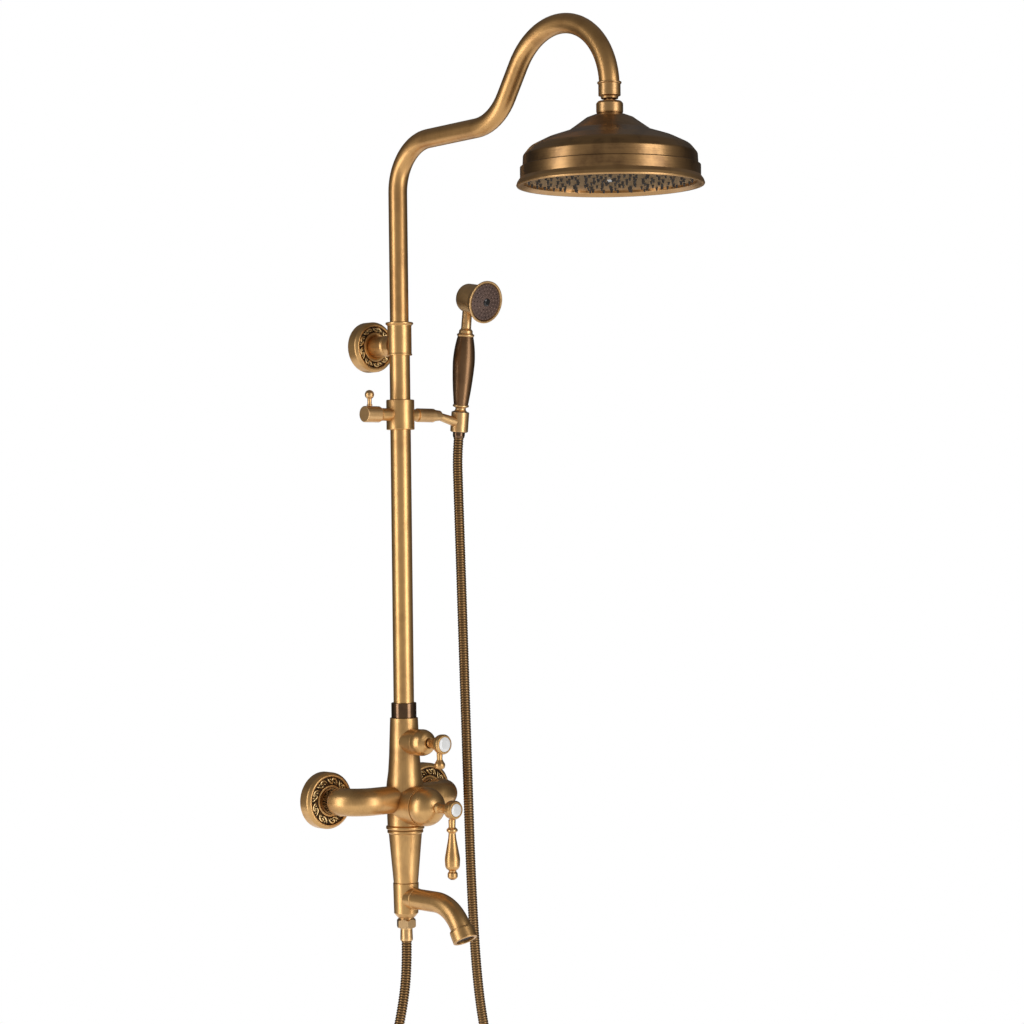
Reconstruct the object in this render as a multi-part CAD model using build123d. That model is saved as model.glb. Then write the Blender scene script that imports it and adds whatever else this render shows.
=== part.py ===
from build123d import *

import math
import os

# Rainfall shower column for a wall: a two-inlet mixer with a swivelling spout, a riser pipe held by
# an upper wall bracket, a telescopic gooseneck arm with a ball-jointed rain head, and a hand shower in
# a sliding holder, fed by a loose metal hose.
# Millimetres. +Z is up, the wall is the plane y = 0, the front faces -Y, and the origin lies on the
# wall midway between the two inlets.

# ---- driving dimensions: overall ----
INLET_CENTRES = 150.0       # between the two supply pipes
COLUMN_OUT = 60.0           # column axis from the wall
BRACKET_Z = 529.5           # height of the upper wall bracket's axis
SLIDER_Z = 448.0            # height of the hand shower holder's axis at rest
ARM_END_Z = 790.0           # lower end of the gooseneck arm, where the head hangs
HEAD_OUT = 356.0            # rain head axis, forward of the column axis
VALVE_Z = -7.0              # mixing valve axis
DIVERTER_Z = 67.0           # diverter axis
SPOUT_Z = -115.7            # spout axis

# ---- driving dimensions: tubes ----
RISER_OD = 24.0
RISER_WALL = 0.9
ARM_WALL = 1.5
ELBOW_OD = 32.0
ELBOW_BORE = 20.0
ELBOW_BEND = 28.0
SPOUT_OD = 24.0
SPOUT_WALL = 2.0
HOSE_OD = 12.0
WATERWAY_R = 3.6            # bore of the hose's fittings and of the hand shower

# ---- driving dimensions: gooseneck ----
ARM_RUN_Z = 763.0           # height of the arm's level run
ARM_RISE_ANGLE = 1.3        # slope of that run
ARM_LEG_ANGLE = 57.5        # slope of the leg up to the arch
ARM_HEEL_BEND = 57.0
ARM_KNEE_BEND = 62.0
ARM_ARCH_BEND = 78.0
ARM_TOP_Z = 863.4           # centreline height of the arch
ARM_FOOT_Z = 345.0          # lower end of the arm, inside the riser
COUPLING_SOCKET = 7.0       # the arm's end inside its coupling
COUPLING_EASE = 0.20        # room in that socket, because the arm is still curved there

# ---- driving dimensions: flanges and inlets ----
INLET_FLANGE_R = 33.0
BRACKET_FLANGE_R = 29.6
FLANGE_DEPTH = 16.4
THREAD_R = 10.48            # G1/2 pipe thread
UNION_THREAD_R = 13.1       # G3/4 pipe thread
UNION_DEPTH = 14.0          # wall thread length
UNION_END = 22.0            # outer end of the wall union
UNION_NUT_WALL = 2.15
TAIL_R = 11.5               # the mixer's tail inside the union nut
TAIL_FLANGE = 2.0
WASHER = 2.0

# ---- driving dimensions: mixer ----
BODY_TOP_Z = 94.5
BODY_BOTTOM_Z = -31.0
CONE_TOP_Z = -40.0
CONE_BOTTOM_Z = -98.0
BLOCK_BOTTOM_Z = -139.0
BODY_BORE = 14.0
VALVE_WALL = 2.0
VALVE_BOSS_OUT = 34.5
VALVE_SKIRT_OUT = 33.2      # lip of the socket that the dome's edge runs in
CARTRIDGE_R = 17.0
SPINDLE_R = 5.0
CROSS_PIN_R = 2.0
CROSS_BOSS_R = 3.2
DOME_ROOM = 1.8             # between the boss and the dome's inside
DOME_EDGE = 102.0           # degrees from the front to the dome's edge
DOME_OUT = 38.0             # centre of the dome's sphere, forward of the column axis
DOME_WALL = 1.7
HUB_FACE_OUT = 92.0
HUB_SPIGOT_R = 4.0
LEVER_OUT = 84.0
LEVER_DROP = 80.0           # lever tip below the valve axis
LEVER_SPIGOT_R = 3.0
VALVE_CAP_R = 7.4
CAP_DEPTH = 3.0
DIVERTER_WALL = 5.2
DIVERTER_BOSS_OUT = 27.5
DIVERTER_R = 10.0
DIVERTER_SPINDLE_R = 3.0
DIVERTER_FACE_OUT = 73.0
DIVERTER_LEVER_OUT = 63.5
DIVERTER_CAP_R = 8.6
STEM_R = 7.0
STEM_THREAD = 12.0          # the stem's length inside the cone
HOSE_THREAD_R = 7.6         # the stem's foot, inside the hose nut

# ---- driving dimensions: spout ----
SPOUT_START = 20.0          # the block's face, forward of the column axis
SPOUT_RUN = 34.0
SPOUT_BEND = 50.0
SPOUT_DROP = 60.0           # degrees that the spout turns down
SPOUT_END = 5.0
AERATOR_WALL = 2.3

# ---- driving dimensions: riser and bracket ----
SPIGOT_WALL = 1.35
SPIGOT_HEIGHT = 7.5
COLLAR_TOP_Z = 112.0
COLLAR_WALL = 2.7
SLEEVE_WALL = 2.1
SLEEVE_BELOW = 12.2         # sleeve's foot below the bracket's axis
SLEEVE_ABOVE = 26.5
SLEEVE_LID = 3.5
STUB_END = 40.0
STUB_R = 12.2
STUB_SPIGOT_R = 5.0
PLATE_R = 22.0
PLATE_THICK = 3.0
SCREW_R = 2.0
SCREW_RING = 16.6

# ---- driving dimensions: rain head ----
HEAD_R = 100.7
HEAD_RIM_Z = 679.0
HEAD_BAND_Z = 688.0
HEAD_TOP_Z = 755.5
SHEET = 1.3                 # wall of the spun bell
RIM_SEAT = 5.6              # width of the rim round the spray plate
PLATE_RISE = 6.0            # spray plate above the rim's edge
SPRAY_PLATE_THICK = 1.6
PLATE_SCREW_R = 2.0
NECK_WALL = 1.4
BALL_R = 8.5
BALL_Z = 761.5
BALL_LINER = 1.2
NOZZLE_R = 2.1
NOZZLE_RINGS = ((18.0, 6), (36.0, 12), (56.0, 16), (78.0, 24))

# ---- driving dimensions: holder and hand shower ----
SLIDER_WALL = 2.6
SLIDER_HEIGHT = 35.0
LINER_WALL = 1.6
LIP = 2.0                   # inner lips that hold the liner in the sleeve
KNOB_R = 9.4
KNOB_SPINDLE_R = 4.0
KNOB_LEVER_X = -46.0
KNOB_LEVER_R = 2.0
BARREL_R = 8.1
BARREL_END_X = 50.0
BARREL_SPIGOT_R = 5.0
TILT_PIN_R = 3.5
TILT_PIN_LENGTH = 9.0
SOCKET_X = 91.5
SOCKET_DROP = 6.8           # socket centre below the slider axis
SOCKET_R = 10.6
SOCKET_HEIGHT = 23.6
SOCKET_WALL = 1.2
SEAT_R = 7.4                # hand shower's cone at the foot of the socket
SEAT_TAPER = 1.0            # its growth over the socket's height
HANDSET_LEAN = 7.0
FACE_PITCH = 6.0            # spray face turned down from square to the handle
GRIP_FOOT = 20.7
GRIP_TOP = 101.5
GRIP_R = 13.1
GRIP_END_R = 9.4
GRIP_FOOT_R = 8.6
HANDSET_HEAD = 147.5        # head centre above the socket centre
HANDSET_FACE_R = 25.2
DRUM_R = 17.5
DRUM_BACK = 6.5
FACE_OUT = 33.0
UPPER_NUT_END = -19.3       # foot of the hose's upper nut, along the handle

# ---- clearances ----
FIT = 0.05                  # seated and threaded parts
RUN = 0.10                  # sliding and turning fits
GAP = 0.30                  # moving parts that only pass each other

# ---- sizes that follow ----
RISER_BORE = RISER_OD - 2 * RISER_WALL
ARM_OD = RISER_BORE - 2 * RUN
ARM_BORE = ARM_OD - 2 * ARM_WALL
SPOUT_BORE = SPOUT_OD - 2 * SPOUT_WALL
TAIL_END = UNION_END + WASHER
VALVE_BOSS_R = CARTRIDGE_R + VALVE_WALL
DOME_R = VALVE_BOSS_R + DOME_ROOM + DOME_WALL
DIVERTER_BOSS_R = DIVERTER_R + DIVERTER_WALL
SPIGOT_R = RISER_OD / 2 + SPIGOT_WALL
SLEEVE_BOTTOM_Z = BRACKET_Z - SLEEVE_BELOW
SLEEVE_TOP_Z = BRACKET_Z + SLEEVE_ABOVE
SLEEVE_R = RISER_OD / 2 + SLEEVE_WALL
BALL_LINER_IN = BALL_R + 0.06
BALL_LINER_OUT = BALL_LINER_IN + BALL_LINER
CAVITY_R = BALL_LINER_OUT + 0.06
NECK_R = CAVITY_R + NECK_WALL
NECK_TOP = BALL_Z - 4.0
NUT_TOP = BALL_Z + 7.7
PLATE_Z = HEAD_RIM_Z + PLATE_RISE
LINER_R = RISER_OD / 2 + RUN + LINER_WALL
SLIDER_R = LINER_R + RUN + SLIDER_WALL
SLIDER_LOW = SLIDER_Z - SLIDER_HEIGHT / 2
SLIDER_HIGH = SLIDER_Z + SLIDER_HEIGHT / 2
SOCKET_Z = SLIDER_Z - SOCKET_DROP
SOCKET_BORE = SOCKET_R - SOCKET_WALL
HOSE_SLOT = HOSE_OD + 1.0
STEM_FOOT_Z = BLOCK_BOTTOM_Z - RUN
FERRULE_TOP = STEM_FOOT_Z - 11.6

# Loose hose, from the outlet ferrule to the hand shower's nut. It hangs in a bulb below the mixer,
# then rises almost straight past the right-hand inlet arm.
HOSE_LOOP = [
    (0.0, -60.0, -166.0),
    (0.0, -60.0, -190.0),
    (-3.0, -59.5, -226.0),
    (-13.0, -58.0, -272.0),
    (-32.0, -55.0, -332.0),
    (-52.0, -51.0, -396.0),
    (-58.0, -48.0, -462.0),
    (-38.0, -46.5, -521.0),
    (9.0, -46.5, -560.0),
    (72.0, -48.0, -571.0),
    (128.0, -50.5, -545.0),
    (159.0, -53.0, -489.0),
    (160.0, -55.5, -424.0),
    (142.0, -57.0, -360.0),
    (124.0, -57.0, -300.0),
    (111.0, -57.0, -228.0),
    (103.6, -57.0, -112.0),
]
HOSE_SHOULDER = (91.9, -54.7, 386.0)
HOSE_CUTS_Z = (100.0, 270.0, 345.0)     # where the loose hose is split for the holder's motions


# ---- frames ----
def column(z=0.0):
    """Upright frame on the column axis."""
    return Plane(origin=(0, -COLUMN_OUT, z), x_dir=(1, 0, 0), z_dir=(0, 0, 1))


def forward(z):
    """Frame on the column axis whose Z points to the front."""
    return Plane(origin=(0, -COLUMN_OUT, z), x_dir=(1, 0, 0), z_dir=(0, -1, 0))


def from_wall(x, z):
    """Frame on the wall whose Z points to the front."""
    return Plane(origin=(x, 0, z), x_dir=(1, 0, 0), z_dir=(0, -1, 0))


def sideways(z, turn=1):
    """Frame on the column axis whose Z points to +X, or to -X."""
    return Plane(origin=(0, -COLUMN_OUT, z), x_dir=(0, 0, 1), z_dir=(turn, 0, 0))


def head_frame(z=0.0):
    """Upright frame on the rain head's axis."""
    return Plane(origin=(0, -COLUMN_OUT - HEAD_OUT, z), x_dir=(1, 0, 0), z_dir=(0, 0, 1))


# ---- shapes ----
def outline(points):
    """Closed outline in radius and height, whose corners may carry a rounding radius."""
    corners = [Vector(p[0], p[1]) for p in points]
    rounds = [p[2] if len(p) > 2 else 0.0 for p in points]
    count = len(corners)
    starts = []
    ends = []
    arcs = []
    for i in range(count):
        here = corners[i]
        back = corners[i - 1] - here
        ahead = corners[(i + 1) % count] - here
        turn = math.radians(180.0 - back.get_angle(ahead)) / 2
        if not rounds[i] or turn < 0.01:
            starts.append(here)
            ends.append(here)
            continue
        cut = min(rounds[i] * math.tan(turn), 0.48 * back.length, 0.48 * ahead.length)
        radius = cut / math.tan(turn)
        begin = here + back.normalized() * cut
        end = here + ahead.normalized() * cut
        inward = (back.normalized() + ahead.normalized()).normalized()
        middle = here + inward * (radius / math.cos(turn) - radius)
        starts.append(begin)
        ends.append(end)
        arcs.append(ThreePointArc(begin, middle, end))
    sides = []
    for i in range(count):
        if (starts[(i + 1) % count] - ends[i]).length > 1e-6:
            sides.append(Line(ends[i], starts[(i + 1) % count]))
    return make_face(arcs + sides)


def turned(plane, points, arc=360.0):
    """Body of revolution about a frame's Z, from its half section."""
    return plane * revolve(Plane.XZ * outline(points), Axis.Z, arc)


def rod(plane, radius, low, high):
    """Cylinder along a frame's Z."""
    return plane * extrude(Plane.XY.offset(low) * Circle(radius), high - low)


def prism(plane, across_flats, sides, low, high):
    """Regular prism along a frame's Z."""
    shape = RegularPolygon(across_flats / 2, sides, major_radius=False)
    return plane * extrude(Plane.XY.offset(low) * shape, high - low)


def ball(plane, radius):
    """Sphere on a frame's origin."""
    return plane * Sphere(radius)


def spherical_band(plane, inner, outer, low_angle, high_angle):
    """Slice of a spherical shell about a frame's origin, between two angles from its Z."""

    def at(radius, angle):
        return (radius * math.sin(math.radians(angle)), radius * math.cos(math.radians(angle)))

    middle = (low_angle + high_angle) / 2
    sides = [
        ThreePointArc(at(outer, low_angle), at(outer, middle), at(outer, high_angle)),
        Line(at(outer, high_angle), at(inner, high_angle)),
        ThreePointArc(at(inner, high_angle), at(inner, middle), at(inner, low_angle)),
        Line(at(inner, low_angle), at(outer, low_angle)),
    ]
    return plane * revolve(Plane.XZ * make_face(sides), Axis.Z)


def tube(path, outer, inner=0.0):
    """Round bar or pipe along a wire."""
    start = Plane(origin=path @ 0, z_dir=path % 0)
    solid = sweep(start * Circle(outer), path=path)
    if inner:
        solid -= sweep(start * Circle(inner), path=path)
    return solid


def ring(plane, inner, outer, low, high, soft=0.3):
    """Plain ring with softened outer edges."""
    points = [(inner, low), (outer, low, soft), (outer, high, soft), (inner, high)]
    return turned(plane, points)


# ---- inlets ----
def wall_cup(x, z, radius, hole):
    """Deep wall flange with a sunk band for its ornament and a raised hub."""
    edge = radius - 3.0
    hub = hole + 4.6
    points = [
        (radius - 2.2, 0),
        (radius, 0, 0.6),
        (radius, FLANGE_DEPTH - 3.2, 2.6),
        (edge, FLANGE_DEPTH, 1.4),
        (edge - 1.8, FLANGE_DEPTH, 0.6),
        (edge - 2.6, FLANGE_DEPTH - 2.4, 0.6),
        (hub + 0.6, FLANGE_DEPTH - 2.4, 0.6),
        (hub, FLANGE_DEPTH + 0.2, 0.8),
        (hub - 2.0, FLANGE_DEPTH + 0.2, 0.5),
        (hole, FLANGE_DEPTH - 0.8, 0.3),
        (hole, FLANGE_DEPTH - 4.4),
        (edge - 2.0, FLANGE_DEPTH - 4.4, 2.0),
        (radius - 2.2, FLANGE_DEPTH - 8.0, 2.0),
    ]
    return turned(from_wall(x, z), points)


def wall_union(x):
    """Straight union: its wall thread, six-sided middle and larger thread for the nut."""
    frame = from_wall(x, 0)
    points = [
        (7.0, -UNION_DEPTH),
        (THREAD_R, -UNION_DEPTH, 0.8),
        (THREAD_R, 0),
        (12.4, 0, 0.4),
        (12.4, 10, 0.4),
        (UNION_THREAD_R, 10.8),
        (UNION_THREAD_R, UNION_END, 0.6),
        (7.0, UNION_END),
    ]
    return turned(frame, points)


def union_nut(x):
    """Nut that draws the mixer's tail onto the union."""
    bore = UNION_THREAD_R + FIT
    lip = TAIL_R + RUN
    low = FLANGE_DEPTH + 0.5
    high = TAIL_END + 5.4
    seat = TAIL_END + TAIL_FLANGE + FIT
    points = [
        (bore, low),
        (bore + UNION_NUT_WALL, low, 0.8),
        (bore + UNION_NUT_WALL, high, 0.8),
        (lip, high),
        (lip, seat),
        (bore, seat),
    ]
    return turned(from_wall(x, 0), points)


# ---- mixer ----
def elbow_path(side, start):
    """Centreline of an inlet arm, from the union round to the column axis."""
    x = side * INLET_CENTRES / 2
    bend_x = x - side * ELBOW_BEND
    first = Line((x, -start, 0), (x, -COLUMN_OUT + ELBOW_BEND, 0))
    middle = (
        bend_x + side * ELBOW_BEND * math.sin(math.radians(45)),
        -COLUMN_OUT + ELBOW_BEND - ELBOW_BEND * math.cos(math.radians(45)),
        0,
    )
    bend = ThreePointArc(first @ 1, middle, (bend_x, -COLUMN_OUT, 0))
    last = Line(bend @ 1, (side * 2.0, -COLUMN_OUT, 0))
    return Wire([first, bend, last])


def make_mixer_body():
    """Cast body: upright barrel, two inlet arms, valve boss, diverter boss and riser spigot."""
    barrel = turned(
        column(),
        [
            (0, BODY_BOTTOM_Z),
            (20.7, BODY_BOTTOM_Z, 0.8),
            (21.6, 0, 40),
            (21.4, 17, 30),
            (19.3, 31, 60),
            (18.0, 50, 60),
            (17.2, DIVERTER_Z + 4, 60),
            (16.3, BODY_TOP_Z, 0.8),
            (0, BODY_TOP_Z),
        ],
    )
    spigot = rod(column(), SPIGOT_R, BODY_TOP_Z - 1, BODY_TOP_Z + SPIGOT_HEIGHT)
    valve_boss = turned(
        forward(VALVE_Z),
        [(0, 0), (VALVE_BOSS_R, 0), (VALVE_BOSS_R, VALVE_BOSS_OUT, 0.6), (0, VALVE_BOSS_OUT)],
    )
    diverter_boss = turned(
        forward(DIVERTER_Z),
        [
            (0, 0),
            (DIVERTER_BOSS_R, 0),
            (DIVERTER_BOSS_R, DIVERTER_BOSS_OUT, 0.6),
            (0, DIVERTER_BOSS_OUT),
        ],
    )
    skirt = turned(
        forward(VALVE_Z),
        [(0, 0), (DOME_R + 0.4, 0), (DOME_R + 0.4, VALVE_SKIRT_OUT, 0.2), (0, VALVE_SKIRT_OUT)],
    )
    body = barrel + spigot + skirt + valve_boss + diverter_boss
    body -= spherical_band(
        forward(VALVE_Z) * Plane(origin=(0, 0, DOME_OUT)),
        DOME_R - DOME_WALL - GAP,
        DOME_R + GAP,
        85.0,
        DOME_EDGE + 14.0,
    )
    for side in (-1, 1):
        body += tube(elbow_path(side, TAIL_END + 6.0), ELBOW_OD / 2)
        tail = from_wall(side * INLET_CENTRES / 2, 0)
        body += rod(tail, TAIL_R, TAIL_END, TAIL_END + 8.0)
        body += rod(tail, UNION_THREAD_R - RUN, TAIL_END, TAIL_END + TAIL_FLANGE)
    body -= rod(column(), BODY_BORE / 2, BODY_BOTTOM_Z - 1, BODY_TOP_Z)
    body -= rod(column(), RISER_OD / 2 + FIT, BODY_TOP_Z - 6.5, BODY_TOP_Z + SPIGOT_HEIGHT + 1)
    body -= rod(forward(VALVE_Z), CARTRIDGE_R + FIT, 4, VALVE_BOSS_OUT + 1)
    body -= rod(forward(DIVERTER_Z), DIVERTER_R + FIT, -8, DIVERTER_BOSS_OUT + 1)
    for side in (-1, 1):
        body -= tube(elbow_path(side, TAIL_END - 1.0), ELBOW_BORE / 2 - 2.5)
    return body


def make_lower_cone():
    """Tapered lower body: its double bead on top, and the thread for the outlet stem."""
    points = [
        (BODY_BORE / 2, CONE_BOTTOM_Z + STEM_THREAD),
        (STEM_R + FIT, CONE_BOTTOM_Z + STEM_THREAD),
        (STEM_R + FIT, CONE_BOTTOM_Z),
        (14.3, CONE_BOTTOM_Z, 0.5),
        (19.4, CONE_TOP_Z - 0.6, 0.3),
        (21.0, CONE_TOP_Z + 0.6, 0.9),
        (21.0, CONE_TOP_Z + 3.2, 0.9),
        (19.6, CONE_TOP_Z + 4.0, 0.3),
        (22.4, CONE_TOP_Z + 4.9, 1.2),
        (22.4, BODY_BOTTOM_Z - 1.0, 1.2),
        (20.4, BODY_BOTTOM_Z),
        (BODY_BORE / 2, BODY_BOTTOM_Z),
    ]
    return turned(column(), points)


def make_outlet_stem():
    """Hollow stem: the spout block turns on it and the hose nut screws onto its foot."""
    foot = STEM_FOOT_Z
    top = CONE_BOTTOM_Z + STEM_THREAD - 0.5
    points = [
        (WATERWAY_R, top),
        (STEM_R, top, 0.5),
        (STEM_R, foot),
        (STEM_R + 2.0, foot),
        (STEM_R + 2.0, foot - 1.4, 0.3),
        (HOSE_THREAD_R, foot - 1.4),
        (HOSE_THREAD_R, foot - 9.4, 0.6),
        (WATERWAY_R, foot - 9.4),
    ]
    stem = turned(column(), points)
    for z in (SPOUT_Z - 4.0, SPOUT_Z + 4.0):
        stem -= Plane(origin=(0, -COLUMN_OUT, z), z_dir=(1, 0, 0)) * Cylinder(1.6, 40)
        stem -= Plane(origin=(0, -COLUMN_OUT, z), z_dir=(0, 1, 0)) * Cylinder(1.6, 40)
    return stem


def make_outlet_block():
    """Turning outlet block with the boss that takes the spout."""
    top = CONE_BOTTOM_Z - RUN
    block = turned(
        column(),
        [
            (0, top),
            (15.0, top, 0.8),
            (14.2, BLOCK_BOTTOM_Z + 5.4, 0.6),
            (9.6, BLOCK_BOTTOM_Z, 0.5),
            (0, BLOCK_BOTTOM_Z),
        ],
    )
    block += turned(
        forward(SPOUT_Z),
        [
            (0, 0),
            (SPOUT_OD / 2 + 0.6, 0),
            (SPOUT_OD / 2 + 0.6, SPOUT_START, 1.0),
            (0, SPOUT_START),
        ],
    )
    block -= rod(column(), STEM_R + RUN, BLOCK_BOTTOM_Z - 1, top + 1)
    block -= rod(column(), STEM_R + 3.4, SPOUT_Z - 10.5, SPOUT_Z + 10.5)
    block -= rod(forward(SPOUT_Z), SPOUT_BORE / 2, 9.0, SPOUT_START + 1)
    return block


def spout_path(start, run, bend, drop, end):
    """Centreline of the spout in its own upright plane: a level run, a bend and a short drop."""
    side = Plane(origin=(0, -COLUMN_OUT, SPOUT_Z), x_dir=(0, -1, 0), z_dir=(-1, 0, 0))
    first = Line((start, 0), (start + run, 0))
    turn = JernArc(start=first @ 1, tangent=first % 1, radius=bend, arc_size=-drop)
    last = Line(turn @ 1, (turn @ 1) + (turn % 1) * end)
    return side * Wire([first, turn, last])


SPOUT_PATH = spout_path(SPOUT_START, SPOUT_RUN, SPOUT_BEND, SPOUT_DROP, SPOUT_END)
MOUTH = Plane(origin=SPOUT_PATH @ 1, x_dir=(1, 0, 0), z_dir=SPOUT_PATH % 1)


def make_aerator_collar():
    """Stepped collar on the end of the spout."""
    points = [
        (SPOUT_OD / 2 + FIT, -4.0),
        (SPOUT_OD / 2 + AERATOR_WALL - 0.6, -4.0, 0.4),
        (SPOUT_OD / 2 + AERATOR_WALL, -1.5, 0.5),
        (SPOUT_OD / 2 + AERATOR_WALL, 10.5, 1.0),
        (SPOUT_BORE / 2 + 0.6, 10.5, 0.4),
        (SPOUT_BORE / 2 + 0.6, 0.0),
        (SPOUT_OD / 2 + FIT, 0.0),
    ]
    return turned(MOUTH, points)


def make_aerator_insert():
    """Sieve insert of the aerator."""
    radius = SPOUT_BORE / 2 + 0.6 - FIT
    insert = turned(MOUTH, [(0, 2.0), (radius, 2.0), (radius, 8.0, 0.4), (0, 8.0)])
    holes = [rod(MOUTH, 0.9, 1, 9)]
    for reach, count in ((3.2, 6), (6.2, 12)):
        for place in PolarLocations(reach, count):
            holes.append(MOUTH * place * extrude(Plane.XY.offset(1.0) * Circle(0.9), 8.0))
    return insert - holes


# ---- mixing valve ----
def make_mixing_cartridge():
    """Ceramic cartridge in the valve boss."""
    points = [
        (0, 4.5),
        (CARTRIDGE_R - 0.6, 4.5, 0.6),
        (CARTRIDGE_R - 0.6, 8.0),
        (CARTRIDGE_R, 8.0),
        (CARTRIDGE_R, 27.0, 0.5),
        (9.0, 27.0),
        (9.0, 31.0, 0.5),
        (SPINDLE_R + RUN, 31.0),
        (SPINDLE_R + RUN, 14.0),
        (0, 14.0),
    ]
    return turned(forward(VALVE_Z), points)


def make_cartridge_nut():
    """Threaded ring that clamps the cartridge."""
    points = [
        (9.0 + FIT, 27.0),
        (CARTRIDGE_R, 27.0),
        (CARTRIDGE_R, 32.5, 0.5),
        (13.0, 34.0, 0.5),
        (9.0 + FIT, 34.0),
    ]
    return turned(forward(VALVE_Z), points)


def make_valve_spindle():
    """Spindle that turns in the cartridge and carries the handle's cross pin."""
    points = [
        (0, 14.5),
        (SPINDLE_R, 14.5, 0.5),
        (SPINDLE_R, 33.0),
        (6.6, 34.0, 0.4),
        (6.6, 44.0, 1.5),
        (0, 44.0),
    ]
    spindle = turned(forward(VALVE_Z), points)
    return spindle - rod(forward(VALVE_Z) * cross_frame(DOME_OUT), CROSS_PIN_R + FIT, -10, 10)


def cross_frame(out, side=1):
    """Frame at a given reach along a forward axis, whose Z points to one side."""
    return Plane(origin=(0, 0, out), x_dir=(0, 0, 1), z_dir=(side, 0, 0))


def make_cross_pin():
    """Pin on which the handle lifts."""
    reach = math.sqrt((DOME_R - DOME_WALL) ** 2 - CROSS_PIN_R ** 2) - 0.6
    return rod(forward(VALVE_Z) * cross_frame(DOME_OUT), CROSS_PIN_R, -reach, reach)


def make_valve_dome():
    """Hollow domed cap of the handle, with two inner bosses for the cross pin."""
    frame = forward(VALVE_Z)
    centre = Plane(origin=(0, 0, DOME_OUT), x_dir=(1, 0, 0), z_dir=(0, 0, 1))
    inner = DOME_R - DOME_WALL
    front = math.degrees(math.asin((HUB_SPIGOT_R + FIT) / inner))
    dome = spherical_band(frame * centre, inner, DOME_R, front, DOME_EDGE)
    for side in (-1, 1):
        cross = frame * cross_frame(DOME_OUT, side)
        dome += rod(cross, CROSS_BOSS_R, 14.0, inner + 0.6)
        dome -= rod(cross, CROSS_PIN_R + RUN, 13.0, inner - 0.4)
    return dome


def make_valve_hub():
    """Bell-shaped hub in front of the dome, with its spigot and a recess for the cap."""
    seat = DOME_OUT + math.sqrt(DOME_R ** 2 - 6.4 ** 2)
    points = [
        (0, DOME_OUT + 9.0),
        (HUB_SPIGOT_R, DOME_OUT + 9.0, 0.4),
        (HUB_SPIGOT_R, seat + 0.9),
        (6.4, seat + 0.9, 0.5),
        (7.3, seat + 2.2, 0.9),
        (5.9, seat + 4.6, 1.5),
        (6.2, LEVER_OUT - 9.0, 6),
        (10.4, LEVER_OUT - 2.0, 4),
        (10.9, HUB_FACE_OUT - 2.4, 1.5),
        (9.4, HUB_FACE_OUT, 0.8),
        (VALVE_CAP_R + FIT, HUB_FACE_OUT),
        (VALVE_CAP_R + FIT, HUB_FACE_OUT - CAP_DEPTH),
        (0, HUB_FACE_OUT - CAP_DEPTH),
    ]
    hub = turned(forward(VALVE_Z), points)
    return hub - rod(lever_frame(VALVE_Z, LEVER_OUT), LEVER_SPIGOT_R + FIT, 5.0, 12.0)


def lever_frame(z, out):
    """Frame at a hub whose Z hangs straight down."""
    return Plane(origin=(0, -COLUMN_OUT - out, z), x_dir=(1, 0, 0), z_dir=(0, 0, -1))


def make_valve_lever():
    """Drop-shaped lever with a bead and a ball tip."""
    tip = LEVER_DROP
    points = [
        (0, 5.0),
        (LEVER_SPIGOT_R, 5.0),
        (LEVER_SPIGOT_R, 11.2),
        (4.2, 11.2, 0.4),
        (3.9, 20.0, 2),
        (6.4, 22.3, 0.9),
        (6.4, 24.3, 0.9),
        (4.1, 26.6, 1.5),
        (4.7, 33.0, 20),
        (8.9, tip - 24.0, 22),
        (8.2, tip - 13.5, 9),
        (3.6, tip - 10.0, 1.5),
        (5.8, tip - 7.6, 2.2),
        (5.8, tip - 2.6, 2.8),
        (2.5, tip, 1.5),
        (0, tip),
    ]
    return turned(lever_frame(VALVE_Z, LEVER_OUT), points)


def make_cap(z, face_out, radius):
    """Domed porcelain disc in a hub's face."""
    points = [
        (0, face_out - CAP_DEPTH),
        (radius, face_out - CAP_DEPTH),
        (radius, face_out - 0.1, 0.6),
        (radius * 0.6, face_out + 0.7, 4),
        (0, face_out + 0.8),
    ]
    return turned(forward(z), points)


# ---- diverter ----
def make_diverter_cartridge():
    """Turning-disc diverter cartridge in its boss."""
    points = [
        (0, -7.5),
        (DIVERTER_R, -7.5, 0.5),
        (DIVERTER_R, 22.0, 0.5),
        (7.0, 22.0),
        (7.0, 33.0, 0.5),
        (DIVERTER_SPINDLE_R + RUN, 33.0),
        (DIVERTER_SPINDLE_R + RUN, 8.0),
        (0, 8.0),
    ]
    return turned(forward(DIVERTER_Z), points)


def make_diverter_bonnet():
    """Bullet-shaped cover over the diverter cartridge."""
    base = DIVERTER_BOSS_OUT
    points = [
        (DIVERTER_BOSS_R - 1.6, base),
        (DIVERTER_BOSS_R, base, 0.5),
        (DIVERTER_BOSS_R + 0.4, base + 7.0, 12),
        (13.0, base + 14.5, 7),
        (7.0, base + 18.0, 1.5),
        (5.4, base + 18.0, 0.4),
        (5.4, base + 16.0),
        (11.0, base + 12.0, 3),
        (DIVERTER_BOSS_R - 1.6, base + 6.0, 4),
    ]
    return turned(forward(DIVERTER_Z), points)


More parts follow.
